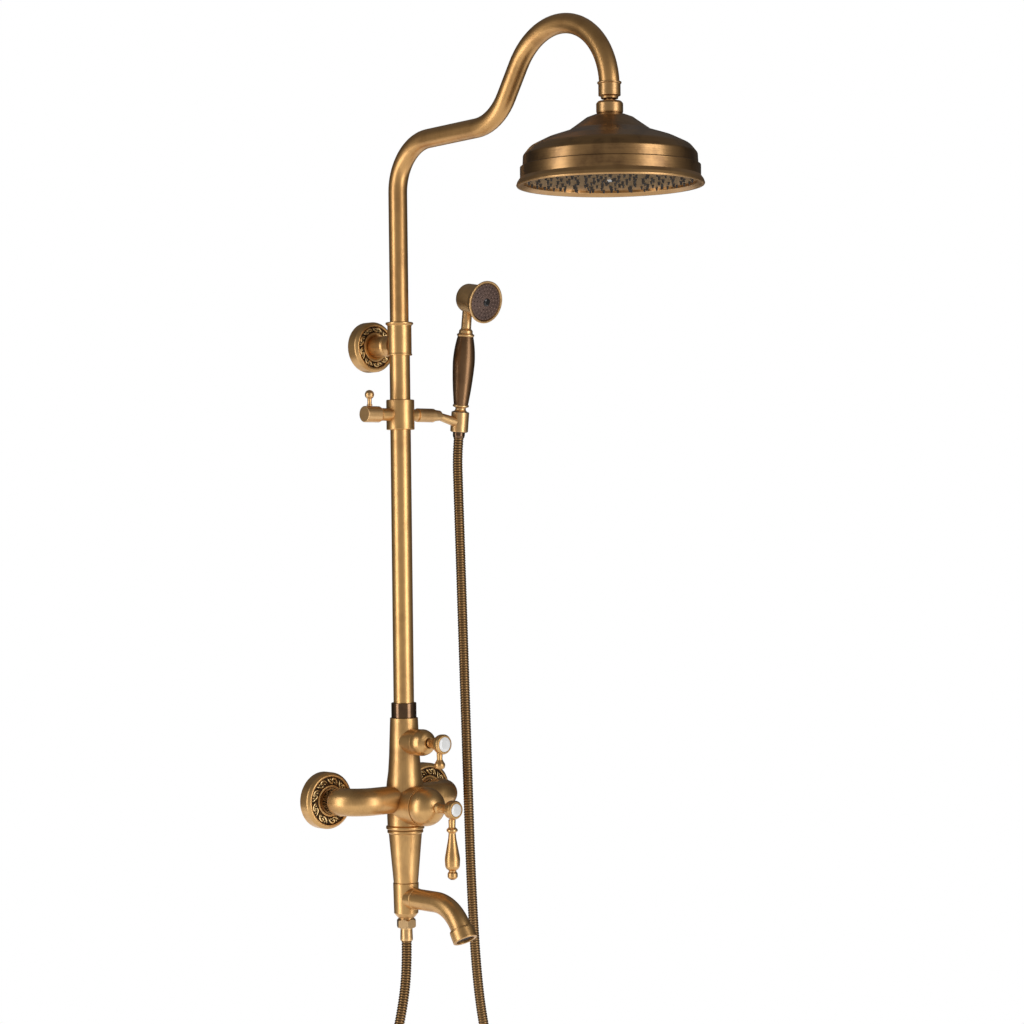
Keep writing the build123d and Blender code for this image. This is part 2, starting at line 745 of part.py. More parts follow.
def make_diverter_lever():
    """Diverter handle: spindle, bell-shaped hub and short drop lever in one casting."""
    face = DIVERTER_FACE_OUT
    points = [
        (0, 8.5),
        (DIVERTER_SPINDLE_R, 8.5, 0.4),
        (DIVERTER_SPINDLE_R, 45.2),
        (4.9, 46.4, 0.5),
        (4.7, 50.0, 3),
        (8.2, face - 13.5, 4),
        (11.2, face - 7.5, 4),
        (11.6, face - 2.2, 1.6),
        (10.2, face, 0.8),
        (DIVERTER_CAP_R + FIT, face),
        (DIVERTER_CAP_R + FIT, face - CAP_DEPTH),
        (0, face - CAP_DEPTH),
    ]
    drop = [
        (0, 6.0),
        (3.4, 6.0),
        (3.4, 13.5, 2),
        (3.1, 17.5, 4),
        (6.6, 23.5, 4),
        (5.4, 28.4, 2.6),
        (0, 29.0),
    ]
    handle = turned(forward(DIVERTER_Z), points)
    return handle + turned(lever_frame(DIVERTER_Z, DIVERTER_LEVER_OUT), drop)


# ---- riser and bracket ----
def make_riser_collar():
    """Nut that clamps the riser on the body's spigot."""
    radius = RISER_OD / 2 + COLLAR_WALL
    step = BODY_TOP_Z + SPIGOT_HEIGHT + 0.5
    points = [
        (SPIGOT_R + FIT, BODY_TOP_Z + FIT),
        (radius, BODY_TOP_Z + FIT, 0.7),
        (radius, COLLAR_TOP_Z, 0.9),
        (RISER_OD / 2 + FIT, COLLAR_TOP_Z),
        (RISER_OD / 2 + FIT, step),
        (SPIGOT_R + FIT, step),
    ]
    return turned(column(), points)


def make_riser_pipe():
    """Lower pipe of the column."""
    top = SLEEVE_TOP_Z - SLEEVE_LID
    points = [
        (RISER_BORE / 2, BODY_TOP_Z - 6.4),
        (RISER_OD / 2, BODY_TOP_Z - 6.4),
        (RISER_OD / 2, top),
        (RISER_BORE / 2, top),
    ]
    return turned(column(), points)


def make_riser_sleeve():
    """Bracket sleeve on the riser's top end, with its flared lip and rear boss."""
    sleeve = turned(
        column(),
        [
            (0, SLEEVE_BOTTOM_Z),
            (SLEEVE_R + 0.5, SLEEVE_BOTTOM_Z, 0.4),
            (SLEEVE_R + 0.5, SLEEVE_BOTTOM_Z + 1.6, 0.4),
            (SLEEVE_R, SLEEVE_BOTTOM_Z + 2.2, 0.6),
            (SLEEVE_R, SLEEVE_TOP_Z - 4.0, 1.5),
            (SLEEVE_R + 2.1, SLEEVE_TOP_Z - 2.2, 0.8),
            (SLEEVE_R + 2.1, SLEEVE_TOP_Z - 0.6, 0.6),
            (SLEEVE_R + 0.9, SLEEVE_TOP_Z, 0.6),
            (0, SLEEVE_TOP_Z),
        ],
    )
    boss = turned(
        from_wall(0, BRACKET_Z),
        [
            (0, STUB_END),
            (STUB_R - 0.4, STUB_END, 1.2),
            (STUB_R - 0.4, COLUMN_OUT - 10.0),
            (0, COLUMN_OUT - 10.0),
        ],
    )
    sleeve += boss
    sleeve -= rod(column(), RISER_OD / 2 + FIT, SLEEVE_BOTTOM_Z - 1, SLEEVE_TOP_Z - SLEEVE_LID)
    sleeve -= rod(column(), ARM_OD / 2 + RUN, SLEEVE_TOP_Z - SLEEVE_LID - 1.5, SLEEVE_TOP_Z + 1)
    return sleeve - rod(from_wall(0, BRACKET_Z), STUB_SPIGOT_R + FIT, STUB_END - 1, STUB_END + 7)


def make_bracket_stub():
    """Short arm from the wall plate to the sleeve."""
    points = [
        (0, PLATE_THICK),
        (STUB_R, PLATE_THICK),
        (STUB_R, STUB_END - 3.0, 1.5),
        (STUB_R - 0.8, STUB_END, 0.6),
        (STUB_SPIGOT_R, STUB_END),
        (STUB_SPIGOT_R, STUB_END + 6.0, 0.6),
        (0, STUB_END + 6.0),
    ]
    return turned(from_wall(0, BRACKET_Z), points)


def screw_places():
    """Places of the bracket's wall screws, on its plate."""
    return PolarLocations(SCREW_RING, 3, start_angle=90)


def make_bracket_plate():
    """Wall plate under the upper flange."""
    frame = from_wall(0, BRACKET_Z)
    plate = ring(frame, 0, PLATE_R, 0, PLATE_THICK, 0.4)
    for place in screw_places():
        plate -= frame * place * extrude(Plane.XY.offset(-1) * Circle(SCREW_R + 0.2), PLATE_THICK + 2)
    return plate


def make_bracket_screws():
    """Pan-head wall screws, as one group."""
    frame = from_wall(0, BRACKET_Z)
    half = [
        (0, -12.5),
        (SCREW_R, -9.0),
        (SCREW_R, PLATE_THICK),
        (4.0, PLATE_THICK),
        (4.0, PLATE_THICK + 1.2, 0.6),
        (2.2, PLATE_THICK + 2.4, 1.0),
        (0, PLATE_THICK + 2.4),
    ]
    screws = []
    for place in screw_places():
        screw = turned(Plane.XY, half)
        slot = Box(6, 0.9, 2.0)
        screws.append(frame * place * (screw - Pos(0, 0, PLATE_THICK + 2.4) * slot))
    return Compound(children=screws)


# ---- gooseneck ----
def arm_path():
    """Centreline of the arm, in the upright plane through the column and the head."""
    side = Plane(origin=(0, -COLUMN_OUT, 0), x_dir=(0, -1, 0), z_dir=(-1, 0, 0))
    slope = math.tan(math.radians(ARM_RISE_ANGLE))
    heel = Vector(0, ARM_RUN_Z)
    arch = Vector(HEAD_OUT - ARM_ARCH_BEND, ARM_TOP_Z - ARM_ARCH_BEND)
    leg = Vector(math.cos(math.radians(ARM_LEG_ANGLE)), math.sin(math.radians(ARM_LEG_ANGLE)))
    touch = arch + Vector(-leg.Y, leg.X) * ARM_ARCH_BEND
    back = (touch.Y - ARM_RUN_Z - slope * touch.X) / (leg.Y - slope * leg.X)
    knee = touch - leg * back
    lower = FilletPolyline(
        (0, ARM_FOOT_Z),
        (heel.X, heel.Y),
        (knee.X, knee.Y),
        (touch.X, touch.Y),
        radius=[ARM_HEEL_BEND, ARM_KNEE_BEND],
    )
    crown = Vector(arch.X, ARM_TOP_Z)
    over = ThreePointArc(touch, crown, (HEAD_OUT, arch.Y))
    end_z = ARM_END_Z - COUPLING_SOCKET
    last = Line((HEAD_OUT, arch.Y), (HEAD_OUT, end_z)) if arch.Y - end_z > 0.01 else None
    pieces = lower.edges() + over.edges()
    if last:
        pieces += last.edges()
    return side * Wire(pieces)


def make_arm_guide():
    """Nylon guide under the arm, which slides in the riser."""
    points = [
        (7.0, ARM_FOOT_Z - 8.0),
        (RISER_BORE / 2 - 0.06, ARM_FOOT_Z - 8.0, 0.6),
        (RISER_BORE / 2 - 0.06, ARM_FOOT_Z, 0.3),
        (7.0, ARM_FOOT_Z),
    ]
    return turned(column(), points)


# ---- rain head ----
def make_ball_stud():
    """Coupling on the arm's end, with the hollow ball that the head hangs from."""
    socket = ARM_OD / 2 + COUPLING_EASE
    skirt = ARM_OD / 2 + 0.9
    bottom = ARM_END_Z - 15.4
    points = [
        (3.0, BALL_Z),
        (4.6, BALL_Z),
        (4.6, bottom - 3.6),
        (9.3, bottom - 2.6, 0.6),
        (9.3, bottom - 1.2, 0.4),
        (10.0, bottom, 0.6),
        (skirt, bottom + 0.6, 0.6),
        (skirt, ARM_END_Z - 2.6, 1.0),
        (skirt + 1.1, ARM_END_Z - 1.6, 0.6),
        (skirt + 1.1, ARM_END_Z, 0.6),
        (socket, ARM_END_Z),
        (socket, ARM_END_Z - COUPLING_SOCKET),
        (3.0, ARM_END_Z - COUPLING_SOCKET - 4),
    ]
    frame = head_frame(BALL_Z)
    stud = turned(head_frame(), points) + ball(frame, BALL_R)
    return stud - rod(frame, 3.0, -BALL_R - 1, BALL_R + 2)


def make_ball_nut():
    """Knurled nut that holds the ball to the head's neck."""
    points = [
        (0, HEAD_TOP_Z + 0.6),
        (NECK_R + 2.5, HEAD_TOP_Z + 0.6, 0.6),
        (NECK_R + 3.2, HEAD_TOP_Z + 2.4, 0.6),
        (NECK_R + 3.2, NUT_TOP - 2.4, 1.4),
        (NECK_R + 1.2, NUT_TOP, 0.8),
        (0, NUT_TOP),
    ]
    nut = turned(head_frame(), points)
    nut -= ball(head_frame(BALL_Z), CAVITY_R)
    nut -= rod(head_frame(), NECK_R + FIT, HEAD_TOP_Z - 1, BALL_Z - 1.0)
    return nut - rod(head_frame(), 7.0, BALL_Z, NUT_TOP + 1)


def bell(points, wall):
    """Spun shell from its outer points, top first."""
    inner = [(max(p[0] - wall, 0), p[1] - wall, *p[2:]) for p in reversed(points)]
    inner[0] = (points[-1][0] - wall, points[-1][1])
    inner[-1] = (points[0][0], points[0][1] - wall)
    return turned(head_frame(), list(points) + inner)


def make_head_shell():
    """Spun bell of the rain head, with its threaded neck."""
    top = HEAD_TOP_Z
    skin = [
        (9.0, top),
        (15.0, top, 2),
        (25.5, top - 4.0, 6),
        (33.0, top - 9.5, 10),
        (45.0, top - 18.0, 16),
        (68.0, top - 25.5, 40),
        (86.0, top - 34.4, 14),
        (93.2, top - 43.5, 4),
        (93.8, HEAD_BAND_Z + 12.5, 0.4),
        (96.5, HEAD_BAND_Z + 11.8, 0.6),
        (96.5, HEAD_BAND_Z),
    ]
    shell = bell(skin, SHEET)
    neck = [
        (4.6, top - SHEET),
        (9.05, top - SHEET),
        (9.05, top),
        (NECK_R, top),
        (NECK_R, NECK_TOP, 0.5),
        (4.6, NECK_TOP),
    ]
    shell += turned(head_frame(), neck)
    return shell - ball(head_frame(BALL_Z), CAVITY_R)


def make_head_rim():
    """Flared rim ring under the bell, whose inner lip carries the spray plate."""
    outer = HEAD_R
    points = [
        (outer - 8.2, PLATE_Z),
        (outer - 8.2, HEAD_RIM_Z + 3.6, 0.6),
        (outer - 3.2, HEAD_RIM_Z, 1.5),
        (outer - 0.8, HEAD_RIM_Z, 0.7),
        (outer, HEAD_RIM_Z + 1.6, 0.9),
        (outer - 1.2, HEAD_RIM_Z + 5.0, 2),
        (outer - 3.3, HEAD_BAND_Z - 1.0, 0.8),
        (outer - 4.0, HEAD_BAND_Z),
        (outer - RIM_SEAT, HEAD_BAND_Z),
        (outer - RIM_SEAT, PLATE_Z),
    ]
    return turned(head_frame(), points)


def nozzle_places():
    """Places of the spray nozzles on the rain head's plate."""
    places = []
    for reach, count in NOZZLE_RINGS:
        places += list(PolarLocations(reach, count))
    return places


def make_spray_plate():
    """Perforated plate of the rain head."""
    frame = head_frame(PLATE_Z)
    plate = rod(frame, HEAD_R - RIM_SEAT - FIT, 0, SPRAY_PLATE_THICK)
    hole = extrude(Plane.XY.offset(-1) * Circle(NOZZLE_R + FIT), SPRAY_PLATE_THICK + 2)
    plate -= [frame * place * hole for place in nozzle_places()]
    return plate - rod(frame, PLATE_SCREW_R + FIT, -1, SPRAY_PLATE_THICK + 1)


def make_spray_nozzles():
    """Soft mat behind the plate, with a nozzle through each of its holes."""
    frame = head_frame(PLATE_Z)
    top = SPRAY_PLATE_THICK
    mat = turned(frame, [(5.0, top), (86.0, top), (86.0, top + 1.4), (5.0, top + 1.4)])
    half = [(0, -3.6), (1.2, -3.6, 0.2), (1.5, -0.8), (NOZZLE_R, 0), (NOZZLE_R, top), (0, top)]
    nozzle = revolve(Plane.XZ * outline(half), Axis.Z)
    return mat + [frame * place * nozzle for place in nozzle_places()]


def make_plate_screw():
    """Centre screw of the spray plate, with the post that it screws into."""
    frame = head_frame(PLATE_Z)
    points = [
        (0, -1.8),
        (2.6, -1.8, 0.8),
        (4.2, 0),
        (PLATE_SCREW_R, 0),
        (PLATE_SCREW_R, 10.0),
        (0, 10.0),
    ]
    return turned(frame, points)


# ---- holder ----
def make_slider_liner():
    """Nylon bush that slides on the riser inside the clamp sleeve."""
    inner = RISER_OD / 2 + RUN
    return ring(column(), inner, LINER_R, SLIDER_LOW + LIP + RUN, SLIDER_HIGH - LIP - RUN, 0.2)


def make_slider_sleeve():
    """Clamp sleeve of the holder, with a boss on each side."""
    inner = RISER_OD / 2 + GAP
    sleeve = ring(column(), 0, SLIDER_R, SLIDER_LOW, SLIDER_HIGH, 1.0)
    sleeve += turned(
        sideways(SLIDER_Z),
        [
            (0, 0),
            (7.0, 0),
            (7.0, 21.5, 0.6),
            (BARREL_SPIGOT_R, 21.5),
            (BARREL_SPIGOT_R, 27.0),
            (0, 27.0),
        ],
    )
    sleeve += turned(sideways(SLIDER_Z, -1), [(0, 0), (7.4, 0), (7.4, 30.6, 0.6), (0, 30.6)])
    sleeve -= rod(column(), LINER_R + RUN, SLIDER_LOW + LIP, SLIDER_HIGH - LIP)
    sleeve -= rod(column(), inner, SLIDER_LOW - 1, SLIDER_HIGH + 1)
    return sleeve - rod(sideways(SLIDER_Z, -1), KNOB_SPINDLE_R + RUN, 5, 32)


def make_clamp_spindle():
    """Screw that presses the liner on the riser."""
    tip = LINER_R + RUN + 0.2
    points = [(0, tip), (KNOB_SPINDLE_R, tip, 0.4), (KNOB_SPINDLE_R, 40.0), (0, 40.0)]
    return turned(sideways(SLIDER_Z, -1), points)


def make_clamp_knob():
    """Round knob of the clamp."""
    points = [
        (0, 31.0),
        (KNOB_R - 1.0, 31.0, 0.5),
        (KNOB_R, 33.2, 0.4),
        (KNOB_R, 54.0, 0.8),
        (0, 54.0),
    ]
    knob = turned(sideways(SLIDER_Z, -1), points)
    knob -= rod(sideways(SLIDER_Z, -1), KNOB_SPINDLE_R + FIT, 30, 40)
    return knob - rod(KNOB_LEVER, KNOB_LEVER_R + FIT, 5.0, KNOB_R + 2.6)


KNOB_LEVER = Plane(origin=(KNOB_LEVER_X, -COLUMN_OUT, SLIDER_Z), x_dir=(1, 0, 0), z_dir=(0, 0, 1))


def make_clamp_lever():
    """Ball-ended tommy bar of the clamp knob."""
    points = [
        (0, 5.2),
        (KNOB_LEVER_R, 5.2),
        (KNOB_LEVER_R, KNOB_R + 0.3),
        (3.4, KNOB_R + 0.3, 0.3),
        (3.4, KNOB_R + 1.5, 0.3),
        (2.5, KNOB_R + 2.2, 0.4),
        (2.5, 20.0),
        (0, 20.0),
    ]
    bead = Plane(origin=(0, 0, 22.6), x_dir=(1, 0, 0), z_dir=(0, 0, 1))
    return turned(KNOB_LEVER, points) + ball(KNOB_LEVER * bead, 5.4)


def make_holder_barrel():
    """Barrel of the holder, with the spigot that its socket tilts on."""
    points = [
        (BARREL_SPIGOT_R + FIT, 21.7),
        (6.4, 21.7, 0.3),
        (6.4, 24.4, 0.3),
        (BARREL_R, 25.4, 0.7),
        (BARREL_R, BARREL_END_X, 0.9),
        (TILT_PIN_R, BARREL_END_X),
        (TILT_PIN_R, BARREL_END_X + TILT_PIN_LENGTH, 0.5),
        (0, BARREL_END_X + TILT_PIN_LENGTH),
        (0, 28.0),
        (BARREL_SPIGOT_R + FIT, 28.0),
    ]
    return turned(sideways(SLIDER_Z), points)


# ---- hand shower ----
HANDSET = Plane(
    origin=(SOCKET_X, -COLUMN_OUT, SOCKET_Z),
    x_dir=(1, 0, 0),
    z_dir=(0, -math.sin(math.radians(HANDSET_LEAN)), math.cos(math.radians(HANDSET_LEAN))),
)


def socket_slot():
    """Gap in the socket's outer side that lets the hose through."""
    length = SOCKET_R + 4
    outward = (Align.MIN, Align.CENTER, Align.CENTER)
    return HANDSET * Box(length, HOSE_SLOT, SOCKET_HEIGHT + 4, align=outward)


def make_holder_fork():
    """Cranked arm and open socket that carry the hand shower."""
    low = BARREL_END_X + RUN
    half = SOCKET_HEIGHT / 2
    tip = low + TILT_PIN_LENGTH + 1.5
    hub = turned(sideways(SLIDER_Z), [(0, low), (7.0, low, 0.6), (6.0, tip, 1.5), (0, tip)])
    web_start = Vector(low + 6.0, -COLUMN_OUT, SLIDER_Z)
    web_end = Vector(SOCKET_X - SOCKET_R + 2.0, -COLUMN_OUT, SOCKET_Z)
    along = (web_end - web_start).normalized()
    first = Plane(origin=web_start, x_dir=(0, 1, 0), z_dir=along)
    last = Plane(origin=web_end, x_dir=(0, 1, 0), z_dir=along)
    web = loft([first * Ellipse(5.2, 4.4), last * Ellipse(6.6, 5.6)])
    fork = hub + web
    fork -= rod(HANDSET, SOCKET_R - 0.2, -half, half)
    fork += ring(HANDSET, 0, SOCKET_R, -half, half, 0.6)
    fork -= rod(HANDSET, SOCKET_BORE, -half - 1, half + 1)
    fork -= rod(sideways(SLIDER_Z), TILT_PIN_R + RUN, low - 1, BARREL_END_X + TILT_PIN_LENGTH + GAP)
    return fork - socket_slot()


def make_socket_liner():
    """Split nylon liner with the cone that the hand shower stands in."""
    half = SOCKET_HEIGHT / 2 + 0.6
    points = [
        (SEAT_R + GAP, -half),
        (SOCKET_BORE - FIT, -half),
        (SOCKET_BORE - FIT, half),
        (SEAT_R + SEAT_TAPER + GAP, half),
    ]
    return turned(HANDSET, points) - socket_slot()


def make_handset_seat():
    """Foot of the hand shower: its cone, its waist and the bead under the grip."""
    half = SOCKET_HEIGHT / 2
    points = [
        (4.0, -half + 2.0),
        (SEAT_R, -half + 2.0, 0.4),
        (SEAT_R + SEAT_TAPER, half, 0.6),
        (6.4, half + 2.6, 1.2),
        (6.2, GRIP_FOOT - 4.0, 1.0),
        (9.6, GRIP_FOOT - 2.6, 0.8),
        (9.6, GRIP_FOOT - 0.9, 0.6),
        (GRIP_FOOT_R, GRIP_FOOT),
        (4.0, GRIP_FOOT),
    ]
    return turned(HANDSET, points)


def make_handset_grip():
    """Swelling grip of the hand shower."""
    core = 5.0
    swell = GRIP_FOOT + 0.6 * (GRIP_TOP - GRIP_FOOT)
    low = ThreePointArc(
        (GRIP_FOOT_R, GRIP_FOOT),
        (GRIP_R - 1.35, (GRIP_FOOT + swell) / 2 + 3),
        (GRIP_R, swell),
    )
    high = ThreePointArc(
        (GRIP_R, swell),
        (GRIP_R - 0.95, (swell + GRIP_TOP) / 2 + 1),
        (GRIP_END_R, GRIP_TOP),
    )
    sides = [
        low,
        high,
        Line((GRIP_END_R, GRIP_TOP), (core, GRIP_TOP)),
        Line((core, GRIP_TOP), (core, GRIP_FOOT)),
        Line((core, GRIP_FOOT), (GRIP_FOOT_R, GRIP_FOOT)),
    ]
    return HANDSET * revolve(Plane.XZ * make_face(sides), Axis.Z)


def face_frame(offset=0.0):
    """Frame on the hand shower's head whose Z points out of its spray face."""
    pitch = math.radians(90.0 - FACE_PITCH)
    local = Plane(
        origin=(0, -offset * math.sin(pitch), HANDSET_HEAD - offset * math.cos(pitch)),
        x_dir=(1, 0, 0),
        z_dir=(0, -math.sin(pitch), -math.cos(pitch)),
    )
    return HANDSET * local


def make_handset_shell():
    """Neck, drum and flared rim of the hand shower."""
    neck = turned(
        HANDSET,
        [
            (0, GRIP_TOP),
            (GRIP_END_R, GRIP_TOP, 0.6),
            (10.3, GRIP_TOP + 1.2, 0.8),
            (10.3, GRIP_TOP + 2.8, 0.8),
            (8.4, GRIP_TOP + 3.8, 0.8),
            (8.0, GRIP_TOP + 7.4, 1.5),
            (6.0, GRIP_TOP + 9.4, 2),
            (5.7, HANDSET_HEAD - 8.0, 4),
            (0, HANDSET_HEAD - 8.0),
        ],
    )
    drum = turned(
        face_frame(),
        [
            (0, -DRUM_BACK),
            (DRUM_R - 1.0, -DRUM_BACK, 7),
            (DRUM_R, 6.0, 12),
            (DRUM_R + 0.9, FACE_OUT - 12.0, 10),
            (DRUM_R + 3.4, FACE_OUT - 4.6, 5),
            (HANDSET_FACE_R, FACE_OUT - 1.8, 0.6),
            (HANDSET_FACE_R, FACE_OUT, 0.6),
            (HANDSET_FACE_R - 2.2, FACE_OUT, 0.3),
            (HANDSET_FACE_R - 3.2, FACE_OUT - 2.0),
            (DRUM_R - 0.1, FACE_OUT - 8.0, 2),
            (DRUM_R - 1.8, FACE_OUT - 14.0, 4),
            (DRUM_R - 2.2, -DRUM_BACK + 2.0, 5),
            (0, -DRUM_BACK + 2.0),
        ],
    )
    shell = neck - rod(face_frame(), DRUM_R - 1.2, -DRUM_BACK + 3, FACE_OUT)
    shell += drum
    return shell - rod(HANDSET, WATERWAY_R, GRIP_TOP - 1, HANDSET_HEAD - 10.0)


def make_handset_face():
    """Patterned spray face with rings of jets round its centre button."""
    frame = face_frame()
    outer = HANDSET_FACE_R - 3.2 - FIT
    face = turned(
        frame,
        [
            (0, FACE_OUT - 4.6),
            (outer - 2.0, FACE_OUT - 4.6, 0.4),
            (outer, FACE_OUT - 1.8),
            (outer - 0.6, FACE_OUT - 0.8, 0.3),
            (4.4, FACE_OUT + 0.4, 1.0),
            (3.9, FACE_OUT + 1.6, 0.8),
            (0, FACE_OUT + 2.0),
        ],
    )
    jets = []
    for reach, count in ((9.0, 10), (13.5, 16), (18.0, 22)):
        for place in PolarLocations(reach, count):
            jets.append(frame * place * extrude(Plane.XY.offset(FACE_OUT - 6) * Circle(0.6), 8))
    return face - jets


# ---- hose ----
HOSE_START_Z = HOSE_LOOP[0][2]


def make_hose_nut_lower():
    """Six-sided nut of the hose on the outlet stem."""
    top = STEM_FOOT_Z - 1.6
    half_flats = 10.25
    corner = half_flats / math.cos(math.radians(30)) + 0.1
    points = [
        (0, FERRULE_TOP),
        (half_flats, FERRULE_TOP),
        (corner, FERRULE_TOP + 1.8),
        (corner, top - 1.8),
        (half_flats, top),
        (0, top),
    ]
    nut = prism(column(), 2 * half_flats, 6, FERRULE_TOP, top) & turned(column(), points)
    nut -= rod(column(), HOSE_THREAD_R + FIT, FERRULE_TOP + 1.8, top + 1)
    return nut - rod(column(), WATERWAY_R, FERRULE_TOP - 1, top)


def make_hose_ferrule():
    """Crimped ferrule between the nut and the hose."""
    points = [
        (WATERWAY_R, HOSE_START_Z),
        (7.2, HOSE_START_Z, 0.5),
        (7.4, HOSE_START_Z + 3.0, 0.3),
        (7.0, FERRULE_TOP - 2.0, 0.3),
        (7.2, FERRULE_TOP, 0.3),
        (WATERWAY_R, FERRULE_TOP),
    ]
    return turned(column(), points)


def make_hose_nut_upper():
    """Conical hose nut under the hand shower; it is slim enough to pass through the socket."""
    half = SOCKET_HEIGHT / 2
    points = [
        (4.0, UPPER_NUT_END),
        (6.5, UPPER_NUT_END, 0.5),
        (SEAT_R - 0.2, UPPER_NUT_END + 3.0, 0.6),
        (SEAT_R - 0.1, -half + 1.6, 0.4),
        (4.0, -half + 1.6),
    ]
    return turned(HANDSET, points)


def hose_top():
    """The hose's last points, from its shoulder up to the conical nut."""
    end = HANDSET.from_local_coords((0, 0, UPPER_NUT_END))
    before = HANDSET.from_local_coords((0, 0, UPPER_NUT_END - 17.0))
    return [HOSE_SHOULDER, tuple(before), tuple(end)]


def level_point(low, high, z):
    """Point at a given height on the run between two points."""
    share = (z - low[2]) / (high[2] - low[2])
    return tuple(a + (b - a) * share for a, b in zip(low, high))


def bend_radii(points):
    """Arc radius of each corner: as large as its two runs allow."""
    radii = []
    for a, b, c in zip(points, points[1:], points[2:]):
        first = Vector(b) - Vector(a)
        second = Vector(c) - Vector(b)
        half_turn = math.radians(first.get_angle(second)) / 2
        radii.append(0.45 * min(first.length, second.length) / math.tan(half_turn))
    return radii


def hose_tube(name, points):
    """One stretch of the hose; it prints its bend radii and compares its volume."""
    radii = bend_radii(points)
    if radii:
        path = FilletPolyline(*points, radius=radii)
    else:
        path = Line(*points)
    wire = Wire(path.edges())
    solid = tube(wire, HOSE_OD / 2)
    ideal = math.pi * (HOSE_OD / 2) ** 2 * wire.length
    print(name, "length", round(wire.length, 1), "volume share", round(solid.volume / ideal, 4))
    print("  radii", [round(r) for r in radii])
    return solid


def make_hose():
    """The loose hose in four stretches, meeting face to face."""
    cuts = [level_point(HOSE_LOOP[-1], HOSE_SHOULDER, z) for z in HOSE_CUTS_Z]
    return {
        "hose_loop": hose_tube("hose_loop", HOSE_LOOP + [cuts[0]]),
        "hose_rise": hose_tube("hose_rise", [cuts[0], cuts[1]]),
        "hose_neck": hose_tube("hose_neck", [cuts[1], cuts[2]]),
        "hose_tail": hose_tube("hose_tail", [cuts[2]] + hose_top()),
    }


# ---- assembly ----
def make_pieces():
    """Every piece of the shower column, by name."""
    inlets = (-INLET_CENTRES / 2, INLET_CENTRES / 2)
    hole = UNION_THREAD_R + 0.4
    washer = (9.0, UNION_THREAD_R - 0.2, UNION_END, TAIL_END, 0.2)
    pieces = {
        "inlet_flanges": Compound(children=[wall_cup(x, 0, INLET_FLANGE_R, hole) for x in inlets]),
        "wall_unions": Compound(children=[wall_union(x) for x in inlets]),
        "union_nuts": Compound(children=[union_nut(x) for x in inlets]),
        "union_washers": Compound(children=[ring(from_wall(x, 0), *washer) for x in inlets]),
        "mixer_body": make_mixer_body(),
        "lower_cone": make_lower_cone(),
        "outlet_stem": make_outlet_stem(),
        "outlet_block": make_outlet_block(),
        "spout_tube": tube(SPOUT_PATH, SPOUT_OD / 2, SPOUT_BORE / 2),
        "aerator_collar": make_aerator_collar(),
        "aerator_insert": make_aerator_insert(),
        "mixing_cartridge": make_mixing_cartridge(),
        "cartridge_nut": make_cartridge_nut(),
        "valve_spindle": make_valve_spindle(),
        "cross_pin": make_cross_pin(),
        "valve_dome": make_valve_dome(),
        "valve_hub": make_valve_hub(),
        "valve_lever": make_valve_lever(),
        "valve_cap": make_cap(VALVE_Z, HUB_FACE_OUT, VALVE_CAP_R),
        "diverter_cartridge": make_diverter_cartridge(),
        "diverter_bonnet": make_diverter_bonnet(),
        "diverter_lever": make_diverter_lever(),
        "diverter_cap": make_cap(DIVERTER_Z, DIVERTER_FACE_OUT, DIVERTER_CAP_R),
        "riser_collar": make_riser_collar(),
        "riser_pipe": make_riser_pipe(),
        "riser_sleeve": make_riser_sleeve(),
        "bracket_stub": make_bracket_stub(),
        "bracket_flange": wall_cup(0, BRACKET_Z, BRACKET_FLANGE_R, STUB_R + 0.3),
        "bracket_plate": make_bracket_plate(),
        "bracket_screws": make_bracket_screws(),
        "gooseneck_arm": tube(arm_path(), ARM_OD / 2, ARM_BORE / 2),
        "arm_guide": make_arm_guide(),
        "ball_stud": make_ball_stud(),
        "ball_seal": spherical_band(head_frame(BALL_Z), BALL_LINER_IN, BALL_LINER_OUT, 104, 138),
        "ball_ring": spherical_band(head_frame(BALL_Z), BALL_LINER_IN, BALL_LINER_OUT, 52, 78),
        "ball_nut": make_ball_nut(),
        "head_shell": make_head_shell(),
        "head_rim": make_head_rim(),
        "spray_plate": make_spray_plate(),
        "spray_nozzles": make_spray_nozzles(),
        "plate_screw": make_plate_screw(),
        "slider_liner": make_slider_liner(),
        "slider_sleeve": make_slider_sleeve(),
        "clamp_spindle": make_clamp_spindle(),
        "clamp_knob": make_clamp_knob(),
        "clamp_lever": make_clamp_lever(),
        "holder_barrel": make_holder_barrel(),
        "holder_fork": make_holder_fork(),
        "socket_liner": make_socket_liner(),
        "handset_seat": make_handset_seat(),
        "handset_grip": make_handset_grip(),
        "handset_shell": make_handset_shell(),
        "handset_face": make_handset_face(),
        "hose_nut_lower": make_hose_nut_lower(),
        "hose_ferrule": make_hose_ferrule(),
        "hose_nut_upper": make_hose_nut_upper(),
    }
    pieces.update(make_hose())
    return pieces


def main():
    """Writes one STEP file for each piece."""
    os.makedirs("parts", exist_ok=True)
    pieces = make_pieces()
    for name, piece in pieces.items():
        export_step(piece, f"parts/{name}.step")
    print(len(pieces), "pieces written")


if __name__ == "__main__":
    main()
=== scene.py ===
import logging
import math
from dataclasses import dataclass
from enum import Enum
from typing import Any, Iterable, Sequence

import bmesh
import bpy
from mathutils import Matrix, Vector


